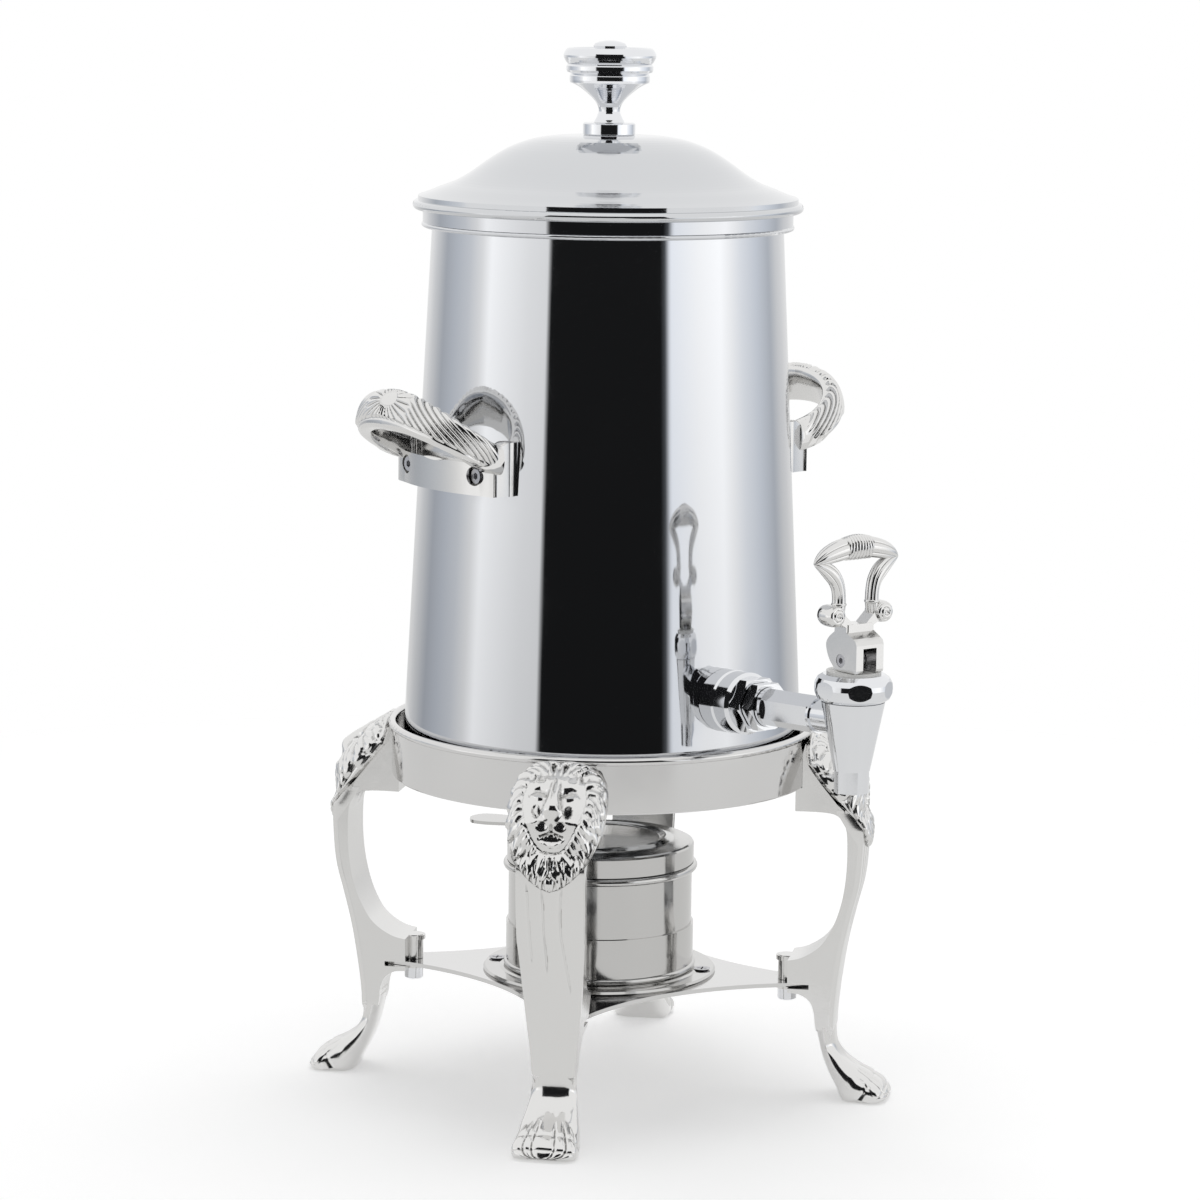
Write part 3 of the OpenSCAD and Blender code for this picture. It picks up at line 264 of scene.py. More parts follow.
# %% Paint the drum
# Degrees from the camera's own side, the tone there, and how cool it is
TONES = [(-180, 0.92, 0), (-154, 0.92, 0), (-138, 0.74, 0.3), (-126, 0.56, 1), (-112, 0.68, 1),
         (-98, 0.80, 0.6), (-87, 1.0, 0), (-79, 1.32, 0), (-70, 1.22, 0), (-50, 1.02, 0),
         (-37.5, 0.96, 0), (-36, 0.012, 0.5), (34, 0.012, 0.5), (37, 0.12, 1), (40, 1.15, 0.6),
         (60, 1.3, 0), (76, 1.42, 0), (84, 1.25, 0), (94, 1.06, 0.5), (110, 0.86, 1), (126, 0.64, 1),
         (138, 0.82, 0.2), (154, 0.92, 0), (180, 0.92, 0)]
# What full coolness does to red, green and blue
COOLING = (-0.07, -0.02, 0.06)

cloth = bpy.data.materials.new("painted cloth")
dye = Nodes(cloth)
here = dye.add("TexCoord", out="Object")
aimed = dye.add("VectorRotate", {"rotation_type": "Z_AXIS"},
                {"Vector": here, "Angle": math.radians(-CAMERA_SIDE)})
across, deep, high = (dye.add("SeparateXYZ", None, {0: aimed}, out=axis) for axis in "XYZ")
angle = across.maths("ARCTAN2", across, 0 - deep)
stops = [((a + 180) / 360, tuple(v * (1 + k * cool) for k in COOLING)) for a, v, cool in TONES]
tone = dye.add("ValToRGB", {"stops": stops}, {0: angle / (2 * math.pi) + 0.5})
rise = dye.add("MapRange", None, {"Value": high, "From Min": -0.25, "From Max": DRUM_TOP,
                                  "To Min": 0.80, "To Max": 1.08})
dye.add("OutputMaterial", None, {"Surface": dye.add("Emission", None, {"Color": tone, "Strength": rise})})
drum.data.materials.append(cloth)
print("drum painted with", len(TONES), "tones")

# %% [markdown]
# ## A black card and a grey cloth
# Carved metal and domes tip upward and mirror what stands higher than the drum, so a black card
# stands on the drum behind the camera and darkens their slopes. The ring, the legs and the fuel
# holder mirror the table, and a pure white table would make them vanish into the backdrop. A grey
# cloth round the urn, seen by the metal only, gives them a tone of their own. Both could be one flat
# colour, but felt and cloth are never even, so they have a slow mottle.

# %% Hang the card and lay the cloth
CARD_FROM, CARD_WIDE, CARD_STEPS, CARD_TOP = -36.6, 71.2, 14, 2.4
CLOTH_HOLE, CLOTH_R, CLOTH_Z = 0.15, 1.15, 0.0004


def paint_stage(thing, name, colour):
    """Paints a stage piece one tone with a slow mottle."""
    paint = bpy.data.materials.new(name)
    coat = Nodes(paint)
    here = coat.add("TexCoord", out="Object")
    spot = coat.add("TexNoise", None, {"Vector": here, "Scale": 0.8}, out="Fac")
    tone = coat.add("Emission", None, {"Color": (*colour, 1), "Strength": 0.94 + 0.12 * spot})
    coat.add("OutputMaterial", None, {"Surface": tone})
    thing.data.materials.append(paint)
    mirrored_only(thing)


turns = [CAMERA_SIDE + CARD_FROM + CARD_WIDE * k / CARD_STEPS for k in range(CARD_STEPS + 1)]
card = band("black_card", [(DRUM_R, DRUM_TOP), (DRUM_R, CARD_TOP)], turns, closed=False)
paint_stage(card, "black felt", (0.012, 0.012, 0.013))
table_cloth = band("table_cloth", [(CLOTH_HOLE, CLOTH_Z), (CLOTH_R, CLOTH_Z)], ALL_ROUND)
paint_stage(table_cloth, "grey cloth", (0.80, 0.80, 0.795))
print("black card up to", CARD_TOP, "m, grey cloth", 2 * CLOTH_R, "m across")

# %% [markdown]
# ## One lamp
# The white room lights the urn from all sides, which alone would leave hardly any shadow. One soft
# square lamp, high up and a little behind the urn, grounds the paws. A second lamp in front would
# be the usual partner, but the room already does its work. The lamp isn't mirrored, because a hot
# square on the dome would look like a fault in the metal.

# %% Hang the lamp
LAMP_AT, LAMP_AIM = Vector((0.3, 0.2, 2.6)), Vector((0, 0, 0.25))
LAMP_SIZE, LAMP_WATTS = 1.6, 22

light = bpy.data.lights.new("top_lamp", "AREA")
light.shape = "SQUARE"
light.size = LAMP_SIZE
light.energy = LAMP_WATTS
top_lamp = bpy.data.objects.new("top_lamp", light)
top_lamp.location = LAMP_AT
top_lamp.rotation_euler = (LAMP_AIM - LAMP_AT).to_track_quat("-Z", "Y").to_euler()
top_lamp.visible_glossy = False
scene.collection.objects.link(top_lamp)
print("lamp of", LAMP_WATTS, "watts at", tuple(round(c, 2) for c in LAMP_AT))

# %% [markdown]
# ## Metal finishes
# Every metal here is bare or plated and polished. A perfect mirror would be the short way, but it
# looks like a drawing, because real sheet is never quite flat, wiping leaves a faint haze, and a
# cast surface is slightly pitted under its plating. So each finish is a mirror with those small
# faults, and the carved castings get painted shade that darkens their crevices. One function makes
# them all from a few plain numbers: a colour, a roughness, how strong each fault is, and how dark
# the painted shade is.

# %% The metal function
finishes = {}


def metal(name, tint, rough, haze=0.04, wave=0.0, wave_size=0.03, pit=0.0, pit_size=0.0012, crevice_shade=0.0,
          spun=0.0):
    """A polished metal: tint, roughness, haze, slow waves, small pits, painted shade in crevices and spun
    rings.
    """
    stuff = bpy.data.materials.new(name)
    n = Nodes(stuff)
    here = n.add("TexCoord", out="Object")
    cloud = n.add("TexNoise", None, {"Vector": here, "Scale": 22.0, "Detail": 3.0, "Roughness": 0.55},
                  out="Fac")
    smear = n.add("MapRange", None, {"Value": cloud, "From Min": 0.42, "From Max": 0.72})
    roughness = rough + haze * smear
    colour = n.mix(0.10 * cloud, tint, tuple(c * 0.82 for c in tint))
    # Painted shade: where pointiness finds a crevice, the base colour is darkened to under a fifth of the
    # tint and made rougher
    if crevice_shade:
        fold = n.add("NewGeometry", out="Pointiness")
        crevice_shade_mask = n.add("MapRange", {"clamp": True}, {"Value": fold, "From Min": 0.40, "From Max": 0.49,
                                                  "To Min": 1.0, "To Max": 0.0})
        colour = n.mix(crevice_shade * crevice_shade_mask, colour, tuple(c * 0.18 for c in tint))
        roughness = roughness + 0.25 * crevice_shade_mask
    height = 0.0
    for depth, size, detail in [(wave, wave_size, 1.0), (pit, pit_size, 2.0)]:
        if depth:
            bumps = n.add("TexNoise", None, {"Vector": here, "Scale": 1 / size, "Detail": detail},
                          out="Fac")
            height = height + depth * bumps
    if spun:
        flat = n.add("VectorMath", {"operation": "MULTIPLY"}, {0: here, 1: (1, 1, 0)})
        ring = n.add("VectorMath", {"operation": "LENGTH"}, {0: flat}, out="Value")
        groove = n.add("TexNoise", {"noise_dimensions": "1D"},
                       {"W": ring * 900.0, "Scale": 1.0, "Detail": 2.0}, out="Fac")
        height = height + spun * groove
    bump = n.add("Bump", None, {"Strength": 1.0, "Distance": 1.0, "Height": height})
    skin = n.add("BsdfPrincipled", None, {"Base Color": colour, "Roughness": roughness, "Metallic": 1.0,
                                          "Normal": bump})
    n.add("OutputMaterial", None, {"Surface": skin})
    finishes[name] = stuff


print("metals can be made")

# %% The metals of this urn
metal("polished_wall", (0.665, 0.675, 0.695), 0.035, wave=0.00010, wave_size=0.09)
metal("polished_lid", (0.655, 0.665, 0.68), 0.05, wave=0.00006, wave_size=0.06, spun=0.000004)
metal("plated_sheet", (0.70, 0.695, 0.69), 0.10, wave=0.00004, wave_size=0.03)
metal("plated_casting", (0.74, 0.735, 0.725), 0.13, haze=0.06, wave=0.00003, wave_size=0.007,
      pit=0.000004)
# The carved casting carries painted shade in its crevices
metal("carved_casting", (0.76, 0.755, 0.745), 0.10, haze=0.05, wave=0.00002, wave_size=0.006,
      pit=0.000003, crevice_shade=0.85)
metal("plated_turning", (0.80, 0.81, 0.83), 0.06, pit=0.000002)
metal("holder_sheet", (0.60, 0.595, 0.585), 0.10, wave=0.00006, wave_size=0.02)
metal("plain_steel", (0.52, 0.52, 0.54), 0.28, haze=0.12, pit=0.000004)
print("metals:", sorted(finishes))

# %% [markdown]
# ## Plastic and rubber
# The disc under the lever is a pale moulded washer, and the seals are black rubber, dull and
# slightly grainy. A plain colour would do at this size, but it looks like flat paint in a close
# view. A fine mottle in tone and height, made from one noise, tells both from the metal.

# %% Moulded materials
def moulded(name, tint, rough, grain):
    """A moulded material with a mottled tone and a fine grain."""
    stuff = bpy.data.materials.new(name)
    n = Nodes(stuff)
    here = n.add("TexCoord", out="Object")
    speck = n.add("TexNoise", None, {"Vector": here, "Scale": 700.0, "Detail": 3.0}, out="Fac")
    colour = n.mix(0.5 * speck, tint, tuple(c * 0.85 for c in tint))
    bump = n.add("Bump", None, {"Strength": 1.0, "Distance": 1.0, "Height": grain * speck})
    skin = n.add("BsdfPrincipled", None, {"Base Color": colour, "Roughness": rough + 0.1 * speck,
                                          "Normal": bump})
    n.add("OutputMaterial", None, {"Surface": skin})
    finishes[name] = stuff


moulded("pale_washer", (0.80, 0.80, 0.78), 0.30, 0.00001)
moulded("black_rubber", (0.03, 0.03, 0.032), 0.55, 0.00004)
print("all finishes:", len(finishes))

# %% [markdown]
# ## Dressing the pieces
# Each piece of the construction model wears one finish. They could be handed out one by one, but a
# table shows at a glance which pieces are the same metal. Turned and pressed metal has soft curves
# that end at crisp edges, so faces are shaded smooth and the model's real edges are kept sharp.

# %% Which piece wears which finish
SHARP_FROM = math.radians(32)
WEARS = {
    "polished_wall": ["urn_shell", "urn_pan", "top_collar", "lid_skirt"],
    "polished_lid": ["lid_dome"],
    "plated_sheet": ["stand_ring", "brace_plate"],
    "plated_casting": ["leg_front_left", "leg_front_right", "leg_back_right", "leg_back_left",
                       "handle_left", "handle_right", "lever_handle"],
    "plated_turning": ["knob_collar", "knob_bowl", "knob_button", "shank_flange", "shank_collar",
                       "clamp_nut", "lock_nut", "shank", "faucet_body", "bonnet", "brace_bolts"],
    "holder_sheet": ["holder_flange", "holder_sleeve", "fuel_cup", "snuffer_cover", "snuffer_paddle"],
    "plain_steel": ["leg_screws", "holder_screws", "holder_nuts", "snuffer_rivets", "knob_screw",
                    "knob_washer", "handle_screws", "handle_saddles", "handle_nuts", "inner_nut",
                    "valve_stem", "stem_spring", "lever_pin"],
    "pale_washer": ["bonnet_disc"],
    "black_rubber": ["shank_washer", "inner_washer", "seat_cup"],
}
for finish, names in WEARS.items():
    for name in names:
        mesh = nodes[name].data
        mesh.materials.clear()
        mesh.materials.append(finishes[finish])
        mesh.shade_smooth()
        mesh.set_sharp_from_angle(angle=SHARP_FROM)
print("dressed pieces:", sum(len(names) for names in WEARS.values()), "of", len(nodes))

# %% [markdown]
# ## Carving, as heights over a plain form
# A foundry pattern is carved in layers: first the mass, then ridges and grooves on it. It could be
# sculpted here with Blender's brushes, or pushed out by a height picture. Instead each feature is a
# small formula, so that it has a place and a size that can be changed by a millimetre, and comes
# out the same each time. A stroke is a curve with a width and a height, negative for a groove. A
# lock of hair is a rope that thins to a point. All are heights over the plain form, in millimetres.

# %% Lines and strokes
def smooth_line(points, n=6):
    """Smooth open curve through the points, with n steps per span."""
    p = np.array(points, float)
    q = np.vstack([p[:1], p, p[-1:]])
    t = np.arange(n)[:, None] / n
    spans = [0.5 * (2 * b + (c - a) * t + (2 * a - 5 * b + 4 * c - d) * t ** 2
                    + (3 * b - a - 3 * c + d) * t ** 3)
             for a, b, c, d in zip(q, q[1:], q[2:], q[3:])]
    return np.vstack(spans + [p[-1:]])


def near_line(x, z, line):
    """Distance of each point from a line, and how far along it the nearest place is, from 0 to 1."""
    best, along = np.full(x.shape, 1e9), np.zeros(x.shape)
    for i, (a, b) in enumerate(zip(line, line[1:])):
        d = b - a
        t = np.clip(((x - a[0]) * d[0] + (z - a[1]) * d[1]) / max(d @ d, 1e-9), 0, 1)
        gap = np.hypot(x - a[0] - t * d[0], z - a[1] - t * d[1])
        closer = gap < best
        best[closer], along[closer] = gap[closer], ((i + t) / (len(line) - 1))[closer]
    return best, along


def stroke(x, z, points, width, height):
    """A rounded ridge, or a groove where the height is negative, along a curve that fades at both ends."""
    gap, along = near_line(x, z, smooth_line(points, 4))
    return height * np.exp(-(gap / width) ** 2) * np.clip(5 * np.minimum(along, 1 - along) + 0.3, 0, 1)


print("steps of a smooth line through three points:", len(smooth_line([[0, 0], [1, 1], [2, 0]])))

# %% Mounds, scoops and lobes
def mound(x, z, cx, cz, wx, wz, height):
    """A round swelling or hollow."""
    return height * np.exp(-((x - cx) / wx) ** 2 - ((z - cz) / wz) ** 2)


def scoop(x, z, cx, cz, wx, wz, depth):
    """A pit whose floor faces up, deepest at its upper edge, or down where the depth is negative."""
    inside = 1 - ((x - cx) / wx) ** 2 - ((z - cz) / wz) ** 2
    tilt = np.clip(0.5 + math.copysign(0.5, depth) * (z - cz) / wz, 0, 1)
    return -abs(depth) * tilt * np.clip(4 * inside, 0, 1)


def lobes(phase):
    """Rounded lobes side by side with a sharp valley between them, one for each full turn of the phase."""
    return np.sqrt(np.abs(np.sin(phase / 2)))


print("a lobe's height at its middle and its edge:", lobes(math.pi), lobes(0.0))

# %% A lock of hair
# Locks rooted above FLAT_ABOVE are ropes. Over the next FLAT_OVER millimetres down they turn into
# shingles, highest along their lower edge and sloping down to their upper one.
FLAT_ABOVE, FLAT_OVER = 162, 8
SHINGLE_SLOPE = 0.3


def lock(x, z, root, aim, bend, length, width, lift):
    """A lock of hair from its root: aim and bend are degrees from +X toward +Z."""
    turn = np.radians(aim + bend * np.linspace(0, 1, 6))
    path = np.cumsum(np.stack([np.cos(turn), np.sin(turn)], 1), 0) * length / 6
    gap, along = near_line(x, z, np.array(root) + np.vstack([[0, 0], path]))
    flat = min(max((FLAT_ABOVE - root[1]) / FLAT_OVER, 0), 1)
    full = 1 - (gap / (width * (1.05 - along ** 3))) ** (2 + 2 * flat)
    end = path[-1] / np.hypot(*path[-1])
    above = end[0] * (z - root[1]) - end[1] * (x - root[0])
    body = lift * (0.45 + 0.55 * np.sin(math.pi * (0.2 + 0.75 * along))) * full
    strands = 0.06 * full * np.cos(gap * 2 * math.pi / (0.8 * width))
    return np.where(full > 0, body - SHINGLE_SLOPE * flat * above + strands, 0)


print("locks turn to shingles between", FLAT_ABOVE, "and", FLAT_ABOVE - FLAT_OVER, "mm up")

# %% Grids of points
def raised(grid, height, ring=True):
    """Pushes a grid of points out along its own normals."""
    along = np.gradient(grid, axis=0)
    round_it = np.roll(grid, -1, 1) - np.roll(grid, 1, 1) if ring else np.gradient(grid, axis=1)
    normal = np.cross(along, round_it)
    normal /= np.maximum(np.linalg.norm(normal, axis=2, keepdims=True), 1e-12)
    return grid + normal * height[..., None]


def grid_faces(rows, columns, ring=True):
    """Four-sided faces between the points of a grid, closed round each row if it is a ring."""
    faces = []
    for i in range(rows - 1):
        for j in range(columns if ring else columns - 1):
            beside = (j + 1) % columns
            faces.append((i * columns + j, i * columns + beside, (i + 1) * columns + beside,
                          (i + 1) * columns + j))
    return faces


def closed_tube(grid):
    """Points and faces of a grid of rings with both ends closed."""
    rows, columns = grid.shape[:2]
    ends = [tuple(range(columns)), tuple((rows - 1) * columns + j for j in range(columns))]
    return grid.reshape(-1, 3), grid_faces(rows, columns) + ends


print("faces of a grid of 3 by 3:", len(grid_faces(3, 3, ring=False)))

# %% [markdown]
# ## The mass of the lion mask
# Each leg of the stand carries a lion mask on its shoulder, cast in one with the leg. Before there
# is any face, the mask is an egg-shaped shield that swells from its rim to a crown line down the
# middle. It could be a squashed sphere, but the mask lies close on the ring above and stands far
# out over the leg's shoulder below. So its rim and its crown each follow a profile of their own.

# %% Mass of the mask
RING_R = 102.2
# Half outline from the top to the tip of the beard: across, up
OUTLINE = smooth_line([[0, 180.5], [7, 180.2], [13.5, 178.3], [19, 173.5], [22.2, 167], [23, 158],
                       [22, 149], [19, 141], [15.3, 135.4], [10.3, 129.9], [5.4, 126], [0, 124]], 8)
HEART = 156.5
# How far the rim and the crown stand off the ring's face: height, distance
EDGE = np.array([[124, 29.3], [130, 29.6], [136, 29.3], [139, 27.9], [142, 25.4], [146, 21.5],
                 [150, 17.8], [160, 9.4], [168, 3.4], [174, 2.2], [182, 2.2]])
CROWN = np.array([[124, 29.9], [128, 30.4], [134, 30], [138, 28.7], [143, 26.6], [150, 27], [158, 27.4],
                  [163, 24.4], [168, 20.7], [173.5, 15.4], [177, 9.2], [181, 3.6]])


def outline_reach(outline, middle, x, z):
    """How far a half outline lies from a middle point, in the direction of each point."""
    out, up = outline[:, 0], outline[:, 1] - middle
    return np.interp(np.arctan2(np.abs(x), z - middle), np.arctan2(out, up), np.hypot(out, up))


def mask_mass(x, z):
    """How far the plain shield stands off the ring's face, and how far out each point is, 0 to 1."""
    out = np.clip(np.hypot(x, z - HEART) / outline_reach(OUTLINE, HEART, x, z), 0, 1)
    edge = np.interp(z, EDGE[:, 0], EDGE[:, 1])
    crown = np.interp(z + 0.18 * np.abs(x), CROWN[:, 0], CROWN[:, 1])
    return edge + (crown - edge) * np.sqrt(np.clip(1 - out ** 3.2, 0, 1)), out


middle_off, _ = mask_mass(np.zeros(1), np.full(1, HEART))
print("the shield's middle stands", round(float(middle_off[0]), 1), "mm off the ring")

# %% [markdown]
# ## The lion's face
# The face is calm and broad: a strong brow over deep eyes, a flat nose that ends in a slanting
# tip, full cheeks and a dark mouth. Polished metal draws a face with reflections only: a plane that
# tips a little upward mirrors the black card, one that tips further mirrors the white room, and one
# that leans down mirrors the floor. So the features are planes and pits with the right tilt, more
# than shapes of the right height. Both sides are alike, so each feature is given once.

# %% Tables of the face
FACE_HEART = 158.5
FACE = smooth_line([[0, 174.5], [6, 174.6], [10.6, 174], [13.4, 171], [14.9, 166], [14.6, 162],
                    [13.5, 158.2], [12, 154], [10.3, 150.4], [8.6, 147], [6.6, 144.2], [4, 142.2],
                    [0, 141.2]], 4)
# Mounds: centre across, centre up, width, height of the mound's foot, and how far it stands out
MOUNDS = [(0, 174.8, 4, 2.4, 0.6), (4.8, 151.2, 3.6, 2.6, 0.25), (11.4, 163.4, 2.6, 3.6, 0.4),
          (4.6, 163.4, 1.3, 2.6, -0.7), (6.9, 167, 2.4, 1.3, 0.9), (6.9, 167.4, 0.5, 0.5, -0.3),
          (0, 144.2, 4.2, 2.2, 0.9), (11.7, 174, 1.4, 1.4, -1.8)]
# Strokes: points, width, height
STROKES = [([(2.2, 172.4), (5, 174.2), (9, 173.6), (12.8, 170)], 1.2, 0.3),
           ([(3.4, 167.2), (7, 165.9), (10.6, 166.8)], 0.4, 0.6),
           ([(0, 156.4), (0, 154), (0.1, 151.6)], 0.5, -1.2),
           ([(0.1, 152.2), (2.6, 151), (6, 149.6)], 0.5, -1.2),
           ([(-0.2, 150.6), (2.5, 149.9), (5.2, 148.9)], 0.35, 0.3),
           ([(0, 146.2), (3, 146.4), (5.4, 147.6)], 0.6, 0.7),
           ([(1.2, 175), (1.8, 172.6), (2.4, 170.4)], 0.4, -0.4),
           ([(9.6, 172.8), (10, 175.8), (12, 176.8), (13.9, 175.4), (13.4, 172.8)], 0.6, 1.1)]
# Scoops, for muzzle, mouth and cheek: centre across, centre up, half width, half height, depth
SCOOPS = [(4.3, 155, 2.4, 2.3, 1.5), (1.2, 149.2, 5, 2, 1.4), (7.4, 161.2, 2.2, 3, -2.1)]
# The brow's lower edge, from the nose outward, and how far down the steep slope below it runs
BROW = np.array([[1.8, 168.8, 0], [2.8, 169.8, 1.5], [4, 170.7, 1.9], [7.5, 171, 1.35], [10, 169.8, 0.8],
                 [12.4, 167, 0.1]])
# The nose bar: heights with its half width there, and heights with how far it stands out there
NOSE_WIDE = ([155, 158, 161.2, 164, 168, 172, 175], [1.5, 3.6, 5.2, 3.8, 2.8, 2.3, 2.6])
NOSE_TALL = ([154.6, 157.8, 161.3, 163, 164.8, 168, 173, 176], [0, 0, 2.9, 3.5, 3.1, 2.2, 0.9, 0])
print("features of the face:", len(MOUNDS) + len(STROKES) + len(SCOOPS) + 2)

# %% Heights of the face
def face_height(x, z):
    """Heights of the lion's face over the plain shield."""
    side = np.abs(x)
    height = sum(mound(side, z, *m) for m in MOUNDS) + sum(stroke(side, z, *s) for s in STROKES)
    height = height + sum(scoop(side, z, *s) for s in SCOOPS)
    below = np.interp(side, BROW[:, 0], BROW[:, 1]) - z
    step = np.interp(side, BROW[:, 0], BROW[:, 2], 0, 0)
    height = height - 1.2 * np.clip(below, 0, step) * np.exp(-(np.clip(below - step, 0, 9) / 2.4) ** 2)
    # The nose is a rounded bar that widens down to a broad tip, cut off by a slanting plane below it
    wide, tall = np.interp(z, *NOSE_WIDE), np.interp(z, *NOSE_TALL)
    return height + tall * np.clip(1 - (side / wide) ** 2, 0, 1) ** 0.6


across, up_mask = np.meshgrid(np.linspace(-13, 13, 53), np.linspace(142, 174, 65))
trial = face_height(across, up_mask)
print("the face runs from", round(float(trial.min()), 1), "to", round(float(trial.max()), 1), "mm")

# %% [markdown]
# ## Mane and beard
# Three rows of locks run round the face, the inner row on top, then a fringe fans out over the brow
# and the beard hangs below the chin. Particle hair would be far too fine for a casting. Each lock
# is laid by itself, and where two cross, the higher one wins, as in a carving. Small random turns
# keep the rows from looking stamped, and their seed is fixed so that they fall the same each time.

# %% Rows of locks
GAP_DEPTH = 1.1
# Rows: distance from the face, first root, step between roots, length, width, lift
ROWS = [(1.34, 3, 3.5, 8.6, 1.8, 1.3), (1.16, 4.5, 3.3, 8, 1.8, 1.6), (1.03, 6, 3, 7, 1.5, 2)]
# Bearings of a root round the face, with the direction a lock takes there, and with its bend
AIMS = ([-90, -60, -20, 20, 50, 80], [-84, -72, -62, -46, 6, 50])
BENDS = ([-90, -30, 20, 70], [16, -14, -26, -50])
# Fringe over the brow: across, up, aim, bend, length
FRINGE = [(0.4, 174.2, 62, 60, 6), (2.6, 174.6, 40, 60, 6), (5, 174.8, 25, 50, 6), (8, 175.2, 20, 10, 5.5),
          (0.3, 177.6, 60, -50, 4)]
# Beard: across, up, aim, bend, length, width
BEARD = [(1.4, 141, -84, -30, 8.5, 1.4), (4.6, 142.2, -78, -24, 8.5, 1.4), (1.6, 134.8, -80, 40, 6.6, 1.4),
         (4.6, 135.4, -76, -46, 6.6, 1.4), (7.6, 137.6, -82, -40, 7, 1.4), (0.9, 129.8, -96, -30, 4.6, 1.3),
         (10.6, 138.6, -96, -20, 6.4, 1.4), (1.3, 130.4, -88, -10, 6, 1.3), (4, 131.2, -82, -20, 6, 1.3),
         (6.8, 132.8, -78, -30, 6, 1.3), (9.6, 135, -76, -30, 6, 1.4), (12.6, 138.4, -76, -30, 6, 1.5)]
print("fringe and beard:", 2 * (len(FRINGE) + len(BEARD)), "locks")

# %% Heights of the mane
def laid_over(height, one):
    """Lays a lock over what is there, and leaves the gap as it is beyond the lock."""
    return np.maximum(height, one - GAP_DEPTH * (one <= 0))


def mane_height(x, z):
    """Heights of the locks of hair, each side on its own so that the two sides differ a little."""
    height = np.full(x.shape, -GAP_DEPTH)
    random = np.random.default_rng(4)
    length = np.concatenate([[0], np.cumsum(np.hypot(*np.diff(FACE, axis=0).T))])
    for out, start, pitch, reach, wide, lift in ROWS:
        for side in (-1, 1):
            for s in np.arange(start, length[-1] - 1.5, pitch):
                root = np.array([np.interp(s, length, FACE[:, k]) for k in (0, 1)])
                root = np.array([0, FACE_HEART]) + (root - [0, FACE_HEART]) * out
                if mask_mass(root[0], root[1])[1] > 0.99:
                    continue
                bearing = math.degrees(math.atan2(root[1] - FACE_HEART, root[0]))
                aim = np.interp(bearing, *AIMS) + random.uniform(-6, 6)
                bend = np.interp(bearing, *BENDS) + random.uniform(-8, 8)
                size = random.uniform(0.9, 1.12)
                one = lock(side * x, z, root, aim, bend, reach * size, wide, lift * size)
                height = laid_over(height, one)
    for side in (-1, 1):
        for k, (x0, z0, aim, bend, reach) in enumerate(FRINGE):
            height = laid_over(height, lock(side * x, z, (x0, z0), aim, bend, reach, 1.25, 1.7 - 0.1 * k))
        for x0, z0, aim, bend, reach, wide in BEARD:
            lift = 2.0 if z0 > 140 else 1.7
            height = laid_over(height, lock(side * x, z, (x0, z0), aim, bend, reach, wide, lift))
    return height


trial = mane_height(across, up_mask)
print("the locks stand up to", round(float(trial.max()), 1), "mm over the shield")

# %% [markdown]
# ## One closed mask
# Face and mane meet at a sharp gap, so the two height maps are blended over barely a millimetre
# along the face's outline. The mask could be left open at the back, as nobody sees it, but an open
# shell makes a poor mesh. So its rim turns back to the leg and closes on a hub in the bracket.

# %% Shape the mask
MASK_FOOT, MASK_HIGH = 124.04, 56.42
FACE_BLEND = 0.9
HUB = [0, -(RING_R + 6), 160]


def mask_front(rows, columns):
    """The carved front as a grid of points, with rows and columns closer together at the rim."""
    z = MASK_FOOT + MASK_HIGH * (1 - np.cos(np.linspace(0, math.pi, rows))) / 2
    half = np.interp(z, OUTLINE[::-1, 1], OUTLINE[::-1, 0])
    x = half[:, None] * np.sin(np.linspace(-1, 1, columns) * math.pi / 2)[None, :]
    z = np.repeat(z[:, None], columns, 1)
    mass, out = mask_mass(x, z)
    rim = outline_reach(FACE, FACE_HEART, x, z)
    inside = np.clip(0.5 + (rim - np.hypot(x, z - FACE_HEART)) / FACE_BLEND, 0, 1)
    hair = mane_height(x, z) * np.clip((1.02 - out) / 0.06, 0.25, 1)
    relief = inside * (face_height(x, z) + 0.3) + (1 - inside) * hair
    relief = relief * np.clip((1 - out) / 0.02, 0.35, 1)
    # The normals of this grid point into the mask, so the relief goes against them
    return raised(np.stack([x, -(RING_R + mass), z], 2), -relief, ring=False)


def mask_form(rows=150, columns=120):
    """Points and faces of one mask, facing -Y, in millimetres."""
    front = mask_front(rows, columns)
    faces = grid_faces(rows, columns, ring=False)
    loop = [i * columns for i in range(rows)] + [(rows - 1) * columns + j for j in range(1, columns)]
    loop += [i * columns + columns - 1 for i in range(rows - 2, -1, -1)]
    loop += [j for j in range(columns - 2, 0, -1)]
    flat = front.reshape(-1, 3)
    rim_points = flat[loop]
    back = rim_points.copy()
    back[:, 0] *= 0.94
    back[:, 2] = HEART + (back[:, 2] - HEART) * 0.96
    back[:, 1] = -(RING_R + np.interp(rim_points[:, 2], EDGE[:, 0], EDGE[:, 1]) - 1.7)
    points = np.vstack([flat, back, [HUB]])
    first, count = len(flat), len(loop)
    beside = [(i + 1) % count for i in range(count)]
    faces += [(loop[i], first + i, first + k, loop[k]) for i, k in enumerate(beside)]
    faces += [(first + i, first + count, first + k) for i, k in enumerate(beside)]
    return points, faces


mask_points, mask_faces = mask_form()
print("mask:", len(mask_points), "points, stands out to", round(-mask_points[:, 1].min() - RING_R, 1), "mm")

# %% [markdown]
# ## Strap and paw of a leg
# Below the mask the leg runs down as a flat strap with soft edges and three shallow creases, and
# ends in a paw with toes, parted by grooves and crossed by two knuckle lines. Bevels could soften
# the plain strap's edges, but its width and its lean change all the way down. So both are grids of
# points drawn from the leg's own profiles, just over the construction model's plain forms.

# %% The strap
# The strap's front seen from the side: distance from the ring's face, height
LEG_OUTER = smooth_line([[27, 146], [28.4, 136], [28.3, 124], [26.9, 108], [23.3, 93], [19.5, 76],
                         [16.8, 57.6], [15.3, 42.3], [15.1, 34], [14.5, 29]], 6)
